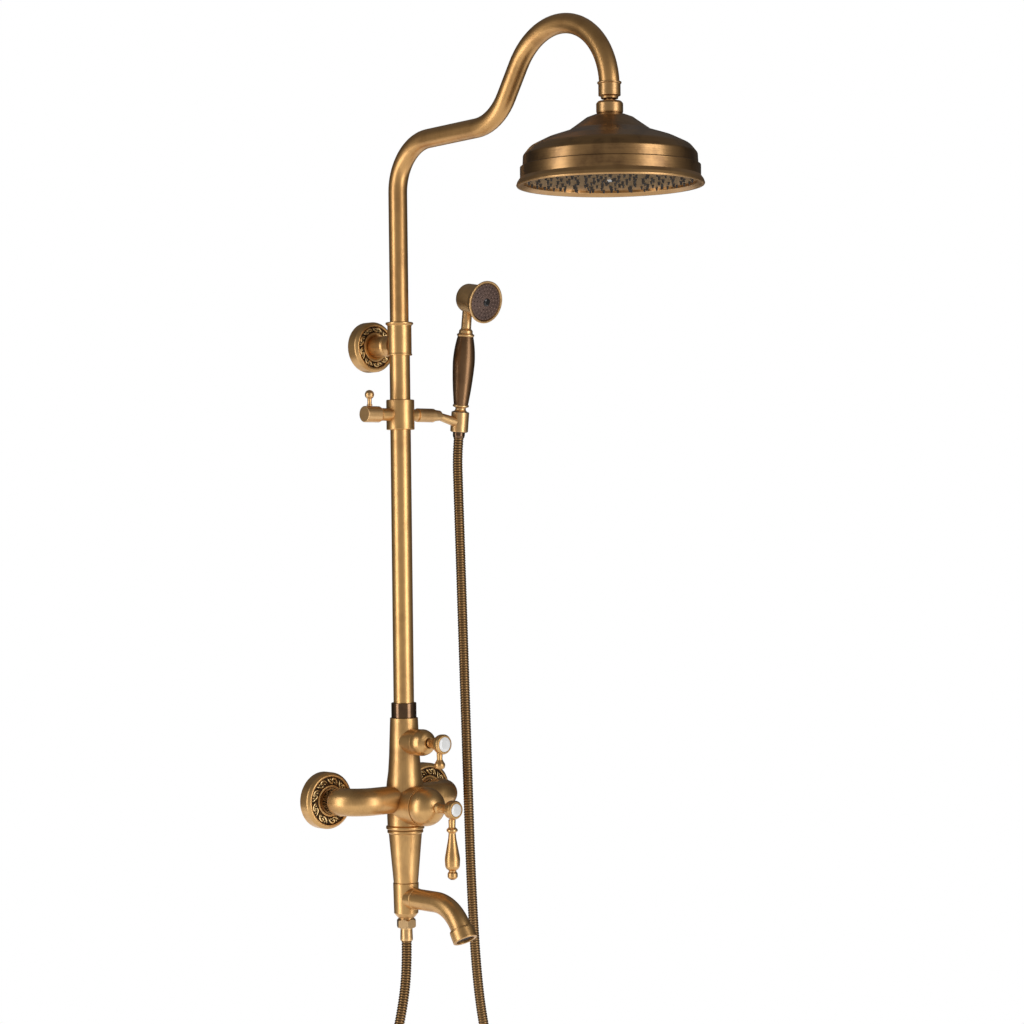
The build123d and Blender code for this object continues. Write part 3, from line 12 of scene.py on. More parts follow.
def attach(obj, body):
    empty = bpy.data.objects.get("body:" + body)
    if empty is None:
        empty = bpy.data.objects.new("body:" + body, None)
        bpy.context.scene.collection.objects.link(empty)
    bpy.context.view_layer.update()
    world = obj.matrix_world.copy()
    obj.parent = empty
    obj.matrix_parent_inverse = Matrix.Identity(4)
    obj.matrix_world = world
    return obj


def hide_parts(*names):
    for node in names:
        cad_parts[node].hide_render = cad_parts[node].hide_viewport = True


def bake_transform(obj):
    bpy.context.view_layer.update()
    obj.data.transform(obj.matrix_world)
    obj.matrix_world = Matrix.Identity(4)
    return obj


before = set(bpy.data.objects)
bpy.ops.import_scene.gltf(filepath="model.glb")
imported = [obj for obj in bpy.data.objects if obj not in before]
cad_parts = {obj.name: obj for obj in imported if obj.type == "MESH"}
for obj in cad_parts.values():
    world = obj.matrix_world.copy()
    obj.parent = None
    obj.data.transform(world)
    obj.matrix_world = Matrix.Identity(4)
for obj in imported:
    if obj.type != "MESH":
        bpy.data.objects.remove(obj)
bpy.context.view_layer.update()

LOG = logging.getLogger("shower_column")
MM = 0.001

Colour = tuple[float, float, float]
Point = tuple[float, float, float]

# Places that several pieces share, in millimetres.
COLUMN_OUT = 60.0
HEAD_OUT = 416.0
VALVE_Z = -7.0
DIVERTER_Z = 67.0
BRACKET_Z = 529.5
INLET_X = 75.0
HANDSET_ORIGIN = (91.5, -60.0, 441.2)
HANDSET_LEAN = 7.0


def metres(point: Sequence[float]) -> Vector:
    """Turns a point given in millimetres into metres."""
    return Vector(point) * MM


def placement(origin: Sequence[float], x_axis: Sequence[float], z_axis: Sequence[float]) -> Matrix:
    """Builds the matrix of a local frame whose units are millimetres.

    Args:
        origin: The frame's origin, in millimetres.
        x_axis: Its X direction.
        z_axis: Its Z direction.

    Returns:
        A matrix from local millimetres to the row frame in metres.
    """
    z = Vector(z_axis).normalized()
    x = (Vector(x_axis) - z * Vector(x_axis).dot(z)).normalized()
    y = z.cross(x)
    turn = Matrix((x, y, z)).transposed().to_4x4()
    return Matrix.Translation(metres(origin)) @ turn @ Matrix.Scale(MM, 4)


# ---- node graphs ----
class Graph:
    """A node tree that is filled from Python, for a material, a world or a geometry tree."""

    def __init__(self, tree: bpy.types.NodeTree) -> None:
        """Keeps the tree."""
        self.tree = tree

    def add(self, kind: str, settings: dict[str, Any] | None = None,
            sockets: dict[str, Any] | None = None) -> bpy.types.Node:
        """Adds one node.

        Args:
            kind: The node's type.
            settings: Properties set first; "stops" fills a ramp.
            sockets: Values or links by the socket's name or identifier.

        Returns:
            The new node.
        """
        node = self.tree.nodes.new(kind)
        for key, value in (settings or {}).items():
            if key == "stops":
                self._fill_ramp(node, value)
            else:
                setattr(node, key, value)
        for key, value in (sockets or {}).items():
            self.feed(find_socket(node.inputs, key), value)
        return node

    @staticmethod
    def _fill_ramp(node: bpy.types.Node, stops: Iterable[tuple[float, Colour]]) -> None:
        """Sets the stops of a colour ramp."""
        elements = node.color_ramp.elements
        while len(elements) > 1:
            elements.remove(elements[-1])
        for number, (place, colour) in enumerate(stops):
            element = elements[0] if number == 0 else elements.new(place)
            element.position = place
            element.color = (*colour, 1.0)

    def feed(self, socket: bpy.types.NodeSocket, value: Any) -> None:
        """Links a term to an input socket, or sets a plain value on it."""
        if isinstance(value, Term):
            self.tree.links.new(value.socket, socket)
        elif isinstance(value, bpy.types.NodeSocket):
            self.tree.links.new(value, socket)
        elif socket.type == "RGBA" and len(value) == 3:
            socket.default_value = (*value, 1.0)
        else:
            socket.default_value = value

    def term(self, node: bpy.types.Node, output: str | None = None) -> "Term":
        """Wraps a node's output, its first one if no name is given."""
        socket = find_socket(node.outputs, output) if output else node.outputs[0]
        return Term(self, socket)

    def math(self, operation: str, *values: Any) -> "Term":
        """Adds a Math node and wraps its result."""
        names = ("Value", "Value_001", "Value_002")
        node = self.add("ShaderNodeMath", {"operation": operation}, dict(zip(names, values)))
        return self.term(node)

    def vector(self, operation: str, *values: Any) -> "Term":
        """Adds a Vector Math node and wraps its vector."""
        names = ("Vector", "Vector_001", "Vector_002")
        node = self.add("ShaderNodeVectorMath", {"operation": operation}, dict(zip(names, values)))
        return self.term(node)

    def combine(self, x: Any, y: Any, z: Any) -> "Term":
        """Makes a vector from three numbers or terms."""
        return self.term(self.add("ShaderNodeCombineXYZ", None, {"X": x, "Y": y, "Z": z}))

    def mix(self, share: Any, first: Any, second: Any) -> "Term":
        """Mixes two colours, the second one where the share is 1."""
        node = self.add("ShaderNodeMix", {"data_type": "RGBA"},
                        {"Factor_Float": share, "A_Color": first, "B_Color": second})
        return self.term(node, "Result_Color")

    def noise(self, place: "Term", scale: float, detail: float = 3.0) -> "Term":
        """Noise from 0 to 1 at a place."""
        node = self.add("ShaderNodeTexNoise", None,
                        {"Vector": place, "Scale": scale, "Detail": detail, "Roughness": 0.6})
        return self.term(node, "Fac")

    def ease(self, value: "Term", low: float, high: float) -> "Term":
        """Smooth step from 0 at low to 1 at high."""
        node = self.add("ShaderNodeMapRange", {"interpolation_type": "SMOOTHSTEP"},
                        {"Value": value, "From Min": low, "From Max": high})
        return self.term(node)


class Term:
    """A socket that takes part in Python arithmetic."""

    def __init__(self, graph: Graph, socket: bpy.types.NodeSocket) -> None:
        """Keeps the graph and the socket."""
        self.graph = graph
        self.socket = socket

    def __add__(self, other: Any) -> "Term":
        """Sum."""
        return self.graph.math("ADD", self, other)

    def __radd__(self, other: float) -> "Term":
        """Reflected sum."""
        return self.graph.math("ADD", other, self)

    def __sub__(self, other: Any) -> "Term":
        """Difference."""
        return self.graph.math("SUBTRACT", self, other)

    def __rsub__(self, other: float) -> "Term":
        """Reflected difference."""
        return self.graph.math("SUBTRACT", other, self)

    def __mul__(self, other: Any) -> "Term":
        """Product."""
        return self.graph.math("MULTIPLY", self, other)

    def __rmul__(self, other: float) -> "Term":
        """Reflected product."""
        return self.graph.math("MULTIPLY", other, self)

    def __truediv__(self, other: Any) -> "Term":
        """Quotient."""
        return self.graph.math("DIVIDE", self, other)

    def clamped(self) -> "Term":
        """The term held between 0 and 1."""
        node = self.graph.add("ShaderNodeClamp", None, {"Value": self})
        return self.graph.term(node)


def find_socket(sockets: Iterable[bpy.types.NodeSocket], key: str) -> bpy.types.NodeSocket:
    """Finds a socket by its identifier, or else by its name.

    Args:
        sockets: A node's inputs or outputs.
        key: The identifier or name.

    Returns:
        The socket.
    """
    listed = list(sockets)
    for socket in listed:
        if socket.identifier == key:
            return socket
    return next(socket for socket in listed if socket.name == key)


# ---- finishes ----
class Brushing(Enum):
    """Direction of the fine brush marks on a metal."""

    UPRIGHT = "along Z"
    SIDEWAYS = "along X"
    FORWARD = "along Y"
    ROUND_Z = "round an upright axis"
    ROUND_Y = "round an axis to the front"
    ROUND_X = "round an axis to the side"


BRUSH_FINE = 900.0
BRUSH_LONG = 14.0
BRUSH_ROUND = 2.2
AXIS_LETTERS = {"ROUND_X": "XYZ", "ROUND_Y": "YZX", "ROUND_Z": "ZXY"}


@dataclass(frozen=True)
class Metal:
    """An aged and brushed metal: bright where it is rubbed, dark in soft clouds, and dark in
    recesses as antique patina with painted shade.
    """

    name: str
    bright: Colour = (0.74, 0.435, 0.165)
    dark: Colour = (0.27, 0.122, 0.038)
    brushing: Brushing = Brushing.UPRIGHT
    centre: Point = (0.0, -COLUMN_OUT, 0.0)
    rough: tuple[float, float] = (0.30, 0.44)
    aged: float = 0.30
    # Reach and strength of the darkening in hollows, which is antique patina with painted shade.
    recess_mm: float = 7.0
    recess: float = 0.9
    coat: float = 0.30
    coat_rough: float = 0.22
    marks: float = 0.12

    def brush_place(self, graph: Graph, place: Term) -> Term:
        """Stretches a place along the brush marks.

        Args:
            graph: The material's graph.
            place: Object coordinates from the finish's centre.

        Returns:
            The vector that the brush noise reads.
        """
        straight = {
            Brushing.UPRIGHT: (BRUSH_FINE, BRUSH_FINE, BRUSH_LONG),
            Brushing.SIDEWAYS: (BRUSH_LONG, BRUSH_FINE, BRUSH_FINE),
            Brushing.FORWARD: (BRUSH_FINE, BRUSH_LONG, BRUSH_FINE),
        }
        if self.brushing in straight:
            return graph.vector("MULTIPLY", place, straight[self.brushing])
        along, across, up = AXIS_LETTERS[self.brushing.name]
        parts = graph.add("ShaderNodeSeparateXYZ", None, {"Vector": place})
        a, b = graph.term(parts, across), graph.term(parts, up)
        reach = graph.math("SQRT", a * a + b * b)
        angle = graph.math("ARCTAN2", a, b)
        return graph.combine(reach * BRUSH_FINE, graph.term(parts, along) * BRUSH_FINE,
                             angle * BRUSH_ROUND)

    def build(self) -> bpy.types.Material:
        """Makes the material.

        Returns:
            The material, with its colour, roughness and bump from its nodes.
        """
        material = bpy.data.materials.new(self.name)
        material.use_nodes = True
        graph = Graph(material.node_tree)
        shader = find_socket_node(graph, "BSDF_PRINCIPLED")
        origin = graph.term(graph.add("ShaderNodeTexCoord"), "Object")
        place = graph.vector("SUBTRACT", origin, tuple(metres(self.centre)))
        streak = graph.noise(self.brush_place(graph, place), 1.0, 4.0)
        cloud = graph.noise(place, 38.0, 4.0)
        grain = graph.noise(place, 900.0, 2.0)
        # Darkening in hollows from ambient occlusion: the antique patina in recesses, with painted
        # shade where parts close each other in.
        hollow = graph.add("ShaderNodeAmbientOcclusion", {"samples": 6, "only_local": True},
                           {"Distance": self.recess_mm * MM})
        recess_shade = 1.0 - graph.term(hollow, "AO")
        patina_and_recess_shade = graph.ease(cloud, 0.42, 0.72) * self.aged
        patina_and_recess_shade = patina_and_recess_shade + graph.ease(streak, 0.38, 0.70) * (0.30 * self.aged + 0.06)
        patina_and_recess_shade = patina_and_recess_shade + graph.ease(recess_shade, 0.12, 0.75) * self.recess
        colour = graph.mix(patina_and_recess_shade.clamped(), self.bright, self.dark)
        low, high = self.rough
        rough = streak * (0.5 * (high - low)) + cloud * (0.5 * (high - low)) + low
        height = streak * 0.75 + grain * 0.25
        bump = graph.add("ShaderNodeBump", None,
                         {"Strength": self.marks, "Distance": 0.00012, "Height": height})
        for name, value in (("Base Color", colour), ("Roughness", rough),
                            ("Normal", graph.term(bump)), ("Metallic", 1.0),
                            ("Coat Weight", self.coat), ("Coat Roughness", self.coat_rough)):
            graph.feed(shader.inputs[name], value)
        return material


def find_socket_node(graph: Graph, kind: str) -> bpy.types.Node:
    """The first node of a type in a graph."""
    return next(node for node in graph.tree.nodes if node.type == kind)


@dataclass(frozen=True)
class FlangeMetal(Metal):
    """Flange brass whose ornament band is blackened between two reaches from its axis."""

    bands: tuple[tuple[float, float, float, float], ...] = ()
    black: Colour = (0.022, 0.012, 0.007)

    def build(self) -> bpy.types.Material:
        """Makes the brass and lays the black band over it.

        Returns:
            The material.
        """
        material = super().build()
        graph = Graph(material.node_tree)
        shader = find_socket_node(graph, "BSDF_PRINCIPLED")
        parts = graph.add("ShaderNodeSeparateXYZ", None,
                          {"Vector": graph.term(graph.add("ShaderNodeTexCoord"), "Object")})
        x, y, z = (graph.term(parts, letter) for letter in "XYZ")
        front = graph.ease(0.0 - y, 0.0125, 0.0130)
        mask: Any = 0.0
        for axis_x, axis_z, inner, outer in self.bands:
            dx, dz = x - axis_x * MM, z - axis_z * MM
            reach = graph.math("SQRT", dx * dx + dz * dz)
            edge = 0.35 * MM
            band = graph.ease(reach, inner * MM, inner * MM + edge)
            band = band * (1.0 - graph.ease(reach, outer * MM - edge, outer * MM))
            mask = band + mask
        mask = (mask * front).clamped()
        fleck = graph.noise(graph.term(find_socket_node(graph, "TEX_COORD"), "Object"), 500.0)
        black = graph.mix(fleck, self.black, (0.075, 0.042, 0.02))
        for name, over in (("Base Color", black), ("Roughness", None)):
            before = shader.inputs[name].links[0].from_socket
            if over is not None:
                graph.feed(shader.inputs[name], graph.mix(mask, before, over))
            else:
                graph.feed(shader.inputs[name], Term(graph, before) + mask * 0.2)
        return material


@dataclass(frozen=True)
class HoseMetal:
    """Double-wound hose: gold ribs and grooves painted almost black as shade, read from the piece's
    own attribute.
    """

    name: str
    rib: Colour = (0.27, 0.150, 0.056)
    painted_groove_shade: Colour = (0.020, 0.010, 0.004)
    attribute: str = "rib_height"

    def build(self) -> bpy.types.Material:
        """Makes the material.

        Returns:
            The material.
        """
        material = bpy.data.materials.new(self.name)
        material.use_nodes = True
        graph = Graph(material.node_tree)
        shader = find_socket_node(graph, "BSDF_PRINCIPLED")
        height = graph.term(graph.add("ShaderNodeAttribute", {"attribute_name": self.attribute}),
                            "Fac")
        place = graph.term(graph.add("ShaderNodeTexCoord"), "Object")
        cloud = graph.noise(place, 60.0)
        grain = graph.noise(place, 1400.0, 2.0)
        # The grooves between the ribs are painted almost black: painted shade between the windings.
        crest = graph.ease(height, 0.25, 0.85) * (0.72 + 0.4 * cloud)
        colour = graph.mix(crest.clamped(), self.painted_groove_shade, self.rib)
        rough = 0.46 - graph.ease(height, 0.4, 1.0) * 0.18 + grain * 0.08
        bump = graph.add("ShaderNodeBump", None,
                         {"Strength": 0.15, "Distance": 0.0001, "Height": grain})
        for name, value in (("Base Color", colour), ("Roughness", rough),
                            ("Normal", graph.term(bump)), ("Metallic", 1.0),
                            ("Coat Weight", 0.2), ("Coat Roughness", 0.25)):
            graph.feed(shader.inputs[name], value)
        return material


@dataclass(frozen=True)
class Glaze:
    """A moulded, glazed or rubbery finish with a soft mottle and a fine grain."""

    name: str
    light: Colour
    shade: Colour
    rough: tuple[float, float]
    metallic: float = 0.0
    coat: float = 0.0
    mottle: float = 60.0
    grain: float = 800.0
    relief: float = 0.06
    glow: float = 0.0

    def build(self) -> bpy.types.Material:
        """Makes the material.

        Returns:
            The material.
        """
        material = bpy.data.materials.new(self.name)
        material.use_nodes = True
        graph = Graph(material.node_tree)
        shader = find_socket_node(graph, "BSDF_PRINCIPLED")
        place = graph.term(graph.add("ShaderNodeTexCoord"), "Object")
        cloud = graph.noise(place, self.mottle)
        grain = graph.noise(place, self.grain, 2.0)
        colour = graph.mix(graph.ease(cloud, 0.35, 0.7), self.light, self.shade)
        low, high = self.rough
        bump = graph.add("ShaderNodeBump", None,
                         {"Strength": self.relief, "Distance": 0.0001, "Height": grain})
        for name, value in (("Base Color", colour), ("Roughness", cloud * (high - low) + low),
                            ("Normal", graph.term(bump)), ("Metallic", self.metallic),
                            ("Coat Weight", self.coat), ("Coat Roughness", 0.08)):
            graph.feed(shader.inputs[name], value)
        return material


INLET_BAND = (18.4, 27.7)
BRACKET_BAND = (17.4, 24.3)

FINISHES = {
    "upright": Metal("brushed_brass_upright"),
    "sideways": Metal("brushed_brass_sideways", brushing=Brushing.SIDEWAYS),
    "arm": Metal("brushed_brass_arm", bright=(0.66, 0.37, 0.135), aged=0.36),
    # Wide darkening round the body's hollows and neighbouring parts: patina with painted shade.
    "body": Metal("brushed_brass_body", aged=0.42, recess_mm=14.0, recess=1.0),
    "valve": Metal("turned_brass_valve", brushing=Brushing.ROUND_Y,
                   centre=(0.0, -COLUMN_OUT, VALVE_Z), aged=0.34),
    "diverter": Metal("turned_brass_diverter", brushing=Brushing.ROUND_Y,
                      centre=(0.0, -COLUMN_OUT, DIVERTER_Z), aged=0.34),
    "holder": Metal("turned_brass_holder", brushing=Brushing.ROUND_X,
                    centre=(0.0, -COLUMN_OUT, 448.0), bright=(0.78, 0.48, 0.21)),
    # The head shell's brass is made darker than the other brass: painted shade for the dark
    # reflection on the bell's top.
    "head": Metal("turned_bronze_head", brushing=Brushing.ROUND_Z,
                  centre=(0.0, -HEAD_OUT, 0.0), bright=(0.40, 0.225, 0.088),
                  dark=(0.12, 0.060, 0.024), aged=0.6, rough=(0.24, 0.36), marks=0.10),
    "head_rim": Metal("turned_brass_rim", brushing=Brushing.ROUND_Z,
                      centre=(0.0, -HEAD_OUT, 0.0), bright=(0.58, 0.34, 0.14), aged=0.3),
    "plate": Metal("spray_plate_brass", brushing=Brushing.ROUND_Z,
                   centre=(0.0, -HEAD_OUT, 0.0), bright=(0.50, 0.32, 0.14), aged=0.4),
    "handset": Metal("brushed_brass_handset", bright=(0.80, 0.50, 0.22), centre=HANDSET_ORIGIN,
                     aged=0.26, marks=0.03),
    "bright": Metal("rubbed_brass", bright=(0.78, 0.51, 0.25), aged=0.2, rough=(0.24, 0.34)),
    "ornament": Metal("scroll_gold", bright=(0.92, 0.66, 0.31), dark=(0.16, 0.085, 0.03),
                      aged=0.25, rough=(0.22, 0.34), recess_mm=1.5, recess=1.1),
    "flange": FlangeMetal(
        "flange_brass", brushing=Brushing.FORWARD, aged=0.32,
        bands=((-INLET_X, 0.0, *INLET_BAND), (INLET_X, 0.0, *INLET_BAND),
               (0.0, BRACKET_Z, *BRACKET_BAND)),
    ),
    "dark": Metal("dark_bronze", bright=(0.19, 0.095, 0.036), dark=(0.045, 0.02, 0.008),
                  rough=(0.14, 0.24), aged=0.5, coat=0.8, coat_rough=0.1,
                  brushing=Brushing.ROUND_Z),
    "grip": Metal("brown_grip", bright=(0.235, 0.125, 0.055), dark=(0.085, 0.042, 0.019),
                  rough=(0.30, 0.42), aged=0.5, centre=HANDSET_ORIGIN, coat=0.3,
                  coat_rough=0.3),
    "hose": HoseMetal("bronze_hose"),
    "porcelain": Glaze("porcelain", (0.86, 0.86, 0.85), (0.80, 0.80, 0.79), (0.16, 0.24),
                       coat=0.6, relief=0.02),
    "face": Glaze("face_brown", (0.125, 0.074, 0.056), (0.080, 0.046, 0.036), (0.34, 0.48),
                  metallic=0.35, coat=0.2),
    "dash": Glaze("face_dash", (0.45, 0.30, 0.24), (0.33, 0.21, 0.165), (0.38, 0.5),
                  metallic=0.4),
    "button": Glaze("face_button", (0.020, 0.018, 0.018), (0.012, 0.010, 0.010), (0.16, 0.26),
                    metallic=0.5, coat=0.5),
    "tips": Glaze("nozzle_rubber", (0.030, 0.022, 0.017), (0.016, 0.012, 0.009), (0.55, 0.68)),
    "steel": Glaze("steel", (0.58, 0.58, 0.57), (0.44, 0.44, 0.43), (0.26, 0.38), metallic=1.0),
    "rubber": Glaze("rubber", (0.035, 0.035, 0.036), (0.02, 0.02, 0.021), (0.55, 0.7)),
    "nylon": Glaze("nylon", (0.52, 0.50, 0.46), (0.44, 0.42, 0.38), (0.42, 0.55)),
}

CARRIED = {
    "upright": ("riser_pipe", "riser_sleeve", "lower_cone", "outlet_block", "outlet_stem",
                "slider_sleeve", "arm_guide", "valve_lever"),
    "arm": ("gooseneck_arm",),
    "body": ("mixer_body",),
    "valve": ("valve_dome", "valve_hub"),
    "diverter": ("diverter_bonnet", "diverter_lever"),
    "holder": ("holder_barrel", "clamp_knob", "clamp_lever"),
    "sideways": ("spout_tube", "aerator_collar", "wall_unions"),
    "head": ("head_shell",),
    "head_rim": ("head_rim", "ball_nut", "ball_stud"),
    "plate": ("spray_plate",),
    "handset": ("holder_fork", "handset_seat", "handset_shell", "hose_ferrule"),
    "bright": ("hose_nut_lower",),
    "flange": ("inlet_flanges", "bracket_flange", "bracket_stub"),
    "dark": ("riser_collar", "union_nuts", "hose_nut_upper"),
    "grip": ("handset_grip",),
    "porcelain": ("valve_cap", "diverter_cap"),
    "face": ("handset_face",),
    "tips": ("spray_nozzles", "aerator_insert"),
    "steel": ("bracket_plate", "bracket_screws", "cross_pin", "valve_spindle", "clamp_spindle",
              "mixing_cartridge", "diverter_cartridge", "cartridge_nut", "plate_screw"),
    "rubber": ("union_washers", "ball_seal", "slider_liner", "socket_liner"),
    "nylon": ("ball_ring",),
}


class Palette:
    """Builds each finish once and dresses pieces in it."""

    def __init__(self) -> None:
        """Starts with no materials."""
        self._made: dict[str, bpy.types.Material] = {}

    def material(self, finish: str) -> bpy.types.Material:
        """The material of a finish."""
        if finish not in self._made:
            self._made[finish] = FINISHES[finish].build()
        return self._made[finish]

    def dress_nodes(self) -> None:
        """Gives every carried-over node the finish it is listed under."""
        listed = {node: finish for finish, nodes in CARRIED.items() for node in nodes}
        for name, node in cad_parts.items():
            material = self.material(listed.get(name, "hose"))
            if not node.material_slots:
                node.data.materials.append(material)
            for slot in node.material_slots:
                slot.material = material
            LOG.info("%s is dressed in %s", name, material.name)


# ---- repeated pieces ----
class GrowthTree:
    """A geometry tree with named inputs that ends in Realize Instances and Set Material."""

    def __init__(self, name: str, sizes: dict[str, float]) -> None:
        """Makes the tree with a geometry input, its sizes and a finish.

        Args:
            name: The tree's name.
            sizes: The default of each named size.
        """
        self.tree = bpy.data.node_groups.new(name, "GeometryNodeTree")
        self.graph = Graph(self.tree)
        interface = self.tree.interface
        interface.new_socket("Shape", in_out="INPUT", socket_type="NodeSocketGeometry")
        for key, value in sizes.items():
            whole = isinstance(value, int)
            kind = "NodeSocketInt" if whole else "NodeSocketFloat"
            interface.new_socket(key, in_out="INPUT", socket_type=kind).default_value = value
        interface.new_socket("Finish", in_out="INPUT", socket_type="NodeSocketMaterial")
        interface.new_socket("Shape", in_out="OUTPUT", socket_type="NodeSocketGeometry")
        self.source = self.graph.add("NodeGroupInput")

    def given(self, name: str) -> Term:
        """One of the tree's inputs."""
        return self.graph.term(self.source, name)

    def close(self, shape: Term) -> None:
        """Realizes the shape, sets its finish and ends the tree."""
        smooth = self.graph.add("GeometryNodeSetShadeSmooth", None, {"Geometry": shape})
        real = self.graph.add("GeometryNodeRealizeInstances", None,
                              {"Geometry": self.graph.term(smooth)})
        dressed = self.graph.add("GeometryNodeSetMaterial", None,
                                 {"Geometry": self.graph.term(real),
                                  "Material": self.given("Finish")})
        self.graph.add("NodeGroupOutput", None, {"Shape": self.graph.term(dressed)})

    def grow(self, name: str, seed: bpy.types.Mesh, values: dict[str, Any],
             place: Matrix | None = None) -> bpy.types.Object:
        """Runs the tree on a seed mesh and returns the result as a plain mesh.

        Args:
            name: The new piece's name.
            seed: The mesh that the tree starts from.
            values: The tree's inputs by name.
            place: Where the result goes, from the seed's own frame.

        Returns:
            An object at the origin whose place is in its mesh.
        """
        carrier = bpy.data.objects.new(name + "_seed", seed)
        bpy.context.scene.collection.objects.link(carrier)
        modifier = carrier.modifiers.new("growth", "NODES")
        modifier.node_group = self.tree
        for item in self.tree.interface.items_tree:
            if item.in_out == "INPUT" and item.name in values:
                modifier[item.identifier] = values[item.name]
        layer = bpy.context.view_layer
        layer.update()
        evaluated = carrier.evaluated_get(bpy.context.evaluated_depsgraph_get())
        mesh = bpy.data.meshes.new_from_object(evaluated)
        mesh.name = name
        carrier.modifiers.remove(modifier)
        bpy.data.objects.remove(carrier)
        if place is not None:
            mesh.transform(place)
        settle_normals(mesh)
        piece = bpy.data.objects.new(name, mesh)
        bpy.context.scene.collection.objects.link(piece)
        return piece


def settle_normals(mesh: bpy.types.Mesh) -> None:
    """Merges doubles and points the faces outwards."""
    work = bmesh.new()
    work.from_mesh(mesh)
    bmesh.ops.remove_doubles(work, verts=work.verts, dist=1e-7)
    bmesh.ops.recalc_face_normals(work, faces=work.faces)
    work.to_mesh(mesh)
    work.free()


def wheel_tree() -> GrowthTree:
    """Tree that repeats a shape evenly round its Z axis.

    Returns:
        The tree, whose inputs are the count and the first turn.
    """
    tree = GrowthTree("repeat_round_axis", {"Count": 12, "First turn": 0.0})
    graph = tree.graph
    count = tree.given("Count")
    points = graph.add("GeometryNodePoints", None, {"Count": count})
    share = graph.term(graph.add("GeometryNodeInputIndex")) / count
    turn = graph.combine(0.0, 0.0, share * math.tau + tree.given("First turn"))
    rotation = graph.term(graph.add("FunctionNodeEulerToRotation", None, {"Euler": turn}))
    copies = graph.add("GeometryNodeInstanceOnPoints", None,
                       {"Points": graph.term(points), "Instance": tree.given("Shape"),
                        "Rotation": rotation})
    tree.close(graph.term(copies))
    return tree


def hose_tree() -> GrowthTree:
    """Tree that winds a ribbed tube along a line.

    Returns:
        The tree, whose inputs are the radius, pitch, depth, phase and sides.
    """
    tree = GrowthTree("wind_ribbed_hose",
                      {"Radius": 0.006, "Pitch": 0.003, "Depth": 0.14, "Phase": 0.0,
                       "Step": 0.0005, "Sides": 20})
    graph = tree.graph
    line = graph.add("GeometryNodeMeshToCurve", None, {"Mesh": tree.given("Shape")})
    fine = graph.add("GeometryNodeResampleCurve", {"mode": "LENGTH"},
                     {"Curve": graph.term(line), "Length": tree.given("Step")})
    length = graph.term(graph.add("GeometryNodeSplineParameter"), "Length")
    turns = (length + tree.given("Phase")) / tree.given("Pitch")
    wave = graph.math("ABSOLUTE", graph.math("SINE", turns * math.pi))
    rib = graph.math("POWER", wave, 0.55)
    marked = graph.add("GeometryNodeStoreNamedAttribute",
                       {"data_type": "FLOAT", "domain": "POINT"},
                       {"Geometry": graph.term(fine), "Name": "rib_height", "Value": rib})
    profile = graph.add("GeometryNodeCurvePrimitiveCircle", {"mode": "RADIUS"},
                        {"Resolution": tree.given("Sides"), "Radius": tree.given("Radius")})
    scale = 1.0 - tree.given("Depth") * (1.0 - rib)
    skin = graph.add("GeometryNodeCurveToMesh", None,
                     {"Curve": graph.term(marked), "Profile Curve": graph.term(profile),
                      "Scale": scale, "Fill Caps": True})
    tree.close(graph.term(skin))
    return tree


def mesh_from(name: str, points: Sequence[Sequence[float]],
              faces: Sequence[Sequence[int]] = (), edges: Sequence[Sequence[int]] = ()
              ) -> bpy.types.Mesh:
    """Makes a mesh from plain lists."""
    mesh = bpy.data.meshes.new(name)
    mesh.from_pydata([tuple(p) for p in points], [tuple(e) for e in edges],
                     [tuple(f) for f in faces])
    mesh.update()
    return mesh


def ride(piece: bpy.types.Object, body: str) -> None:
    """Puts a piece on its body."""
    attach(piece, body)
    LOG.info("%s rides on %s", piece.name, body)


# ---- hose ----
@dataclass
class HoseStretch:
    """One stretch of the loose hose, between two heights on its rising leg."""

    name: str
    bodies: tuple[str, str]
    start: Point
    end: Point
    length: float
    lay: str


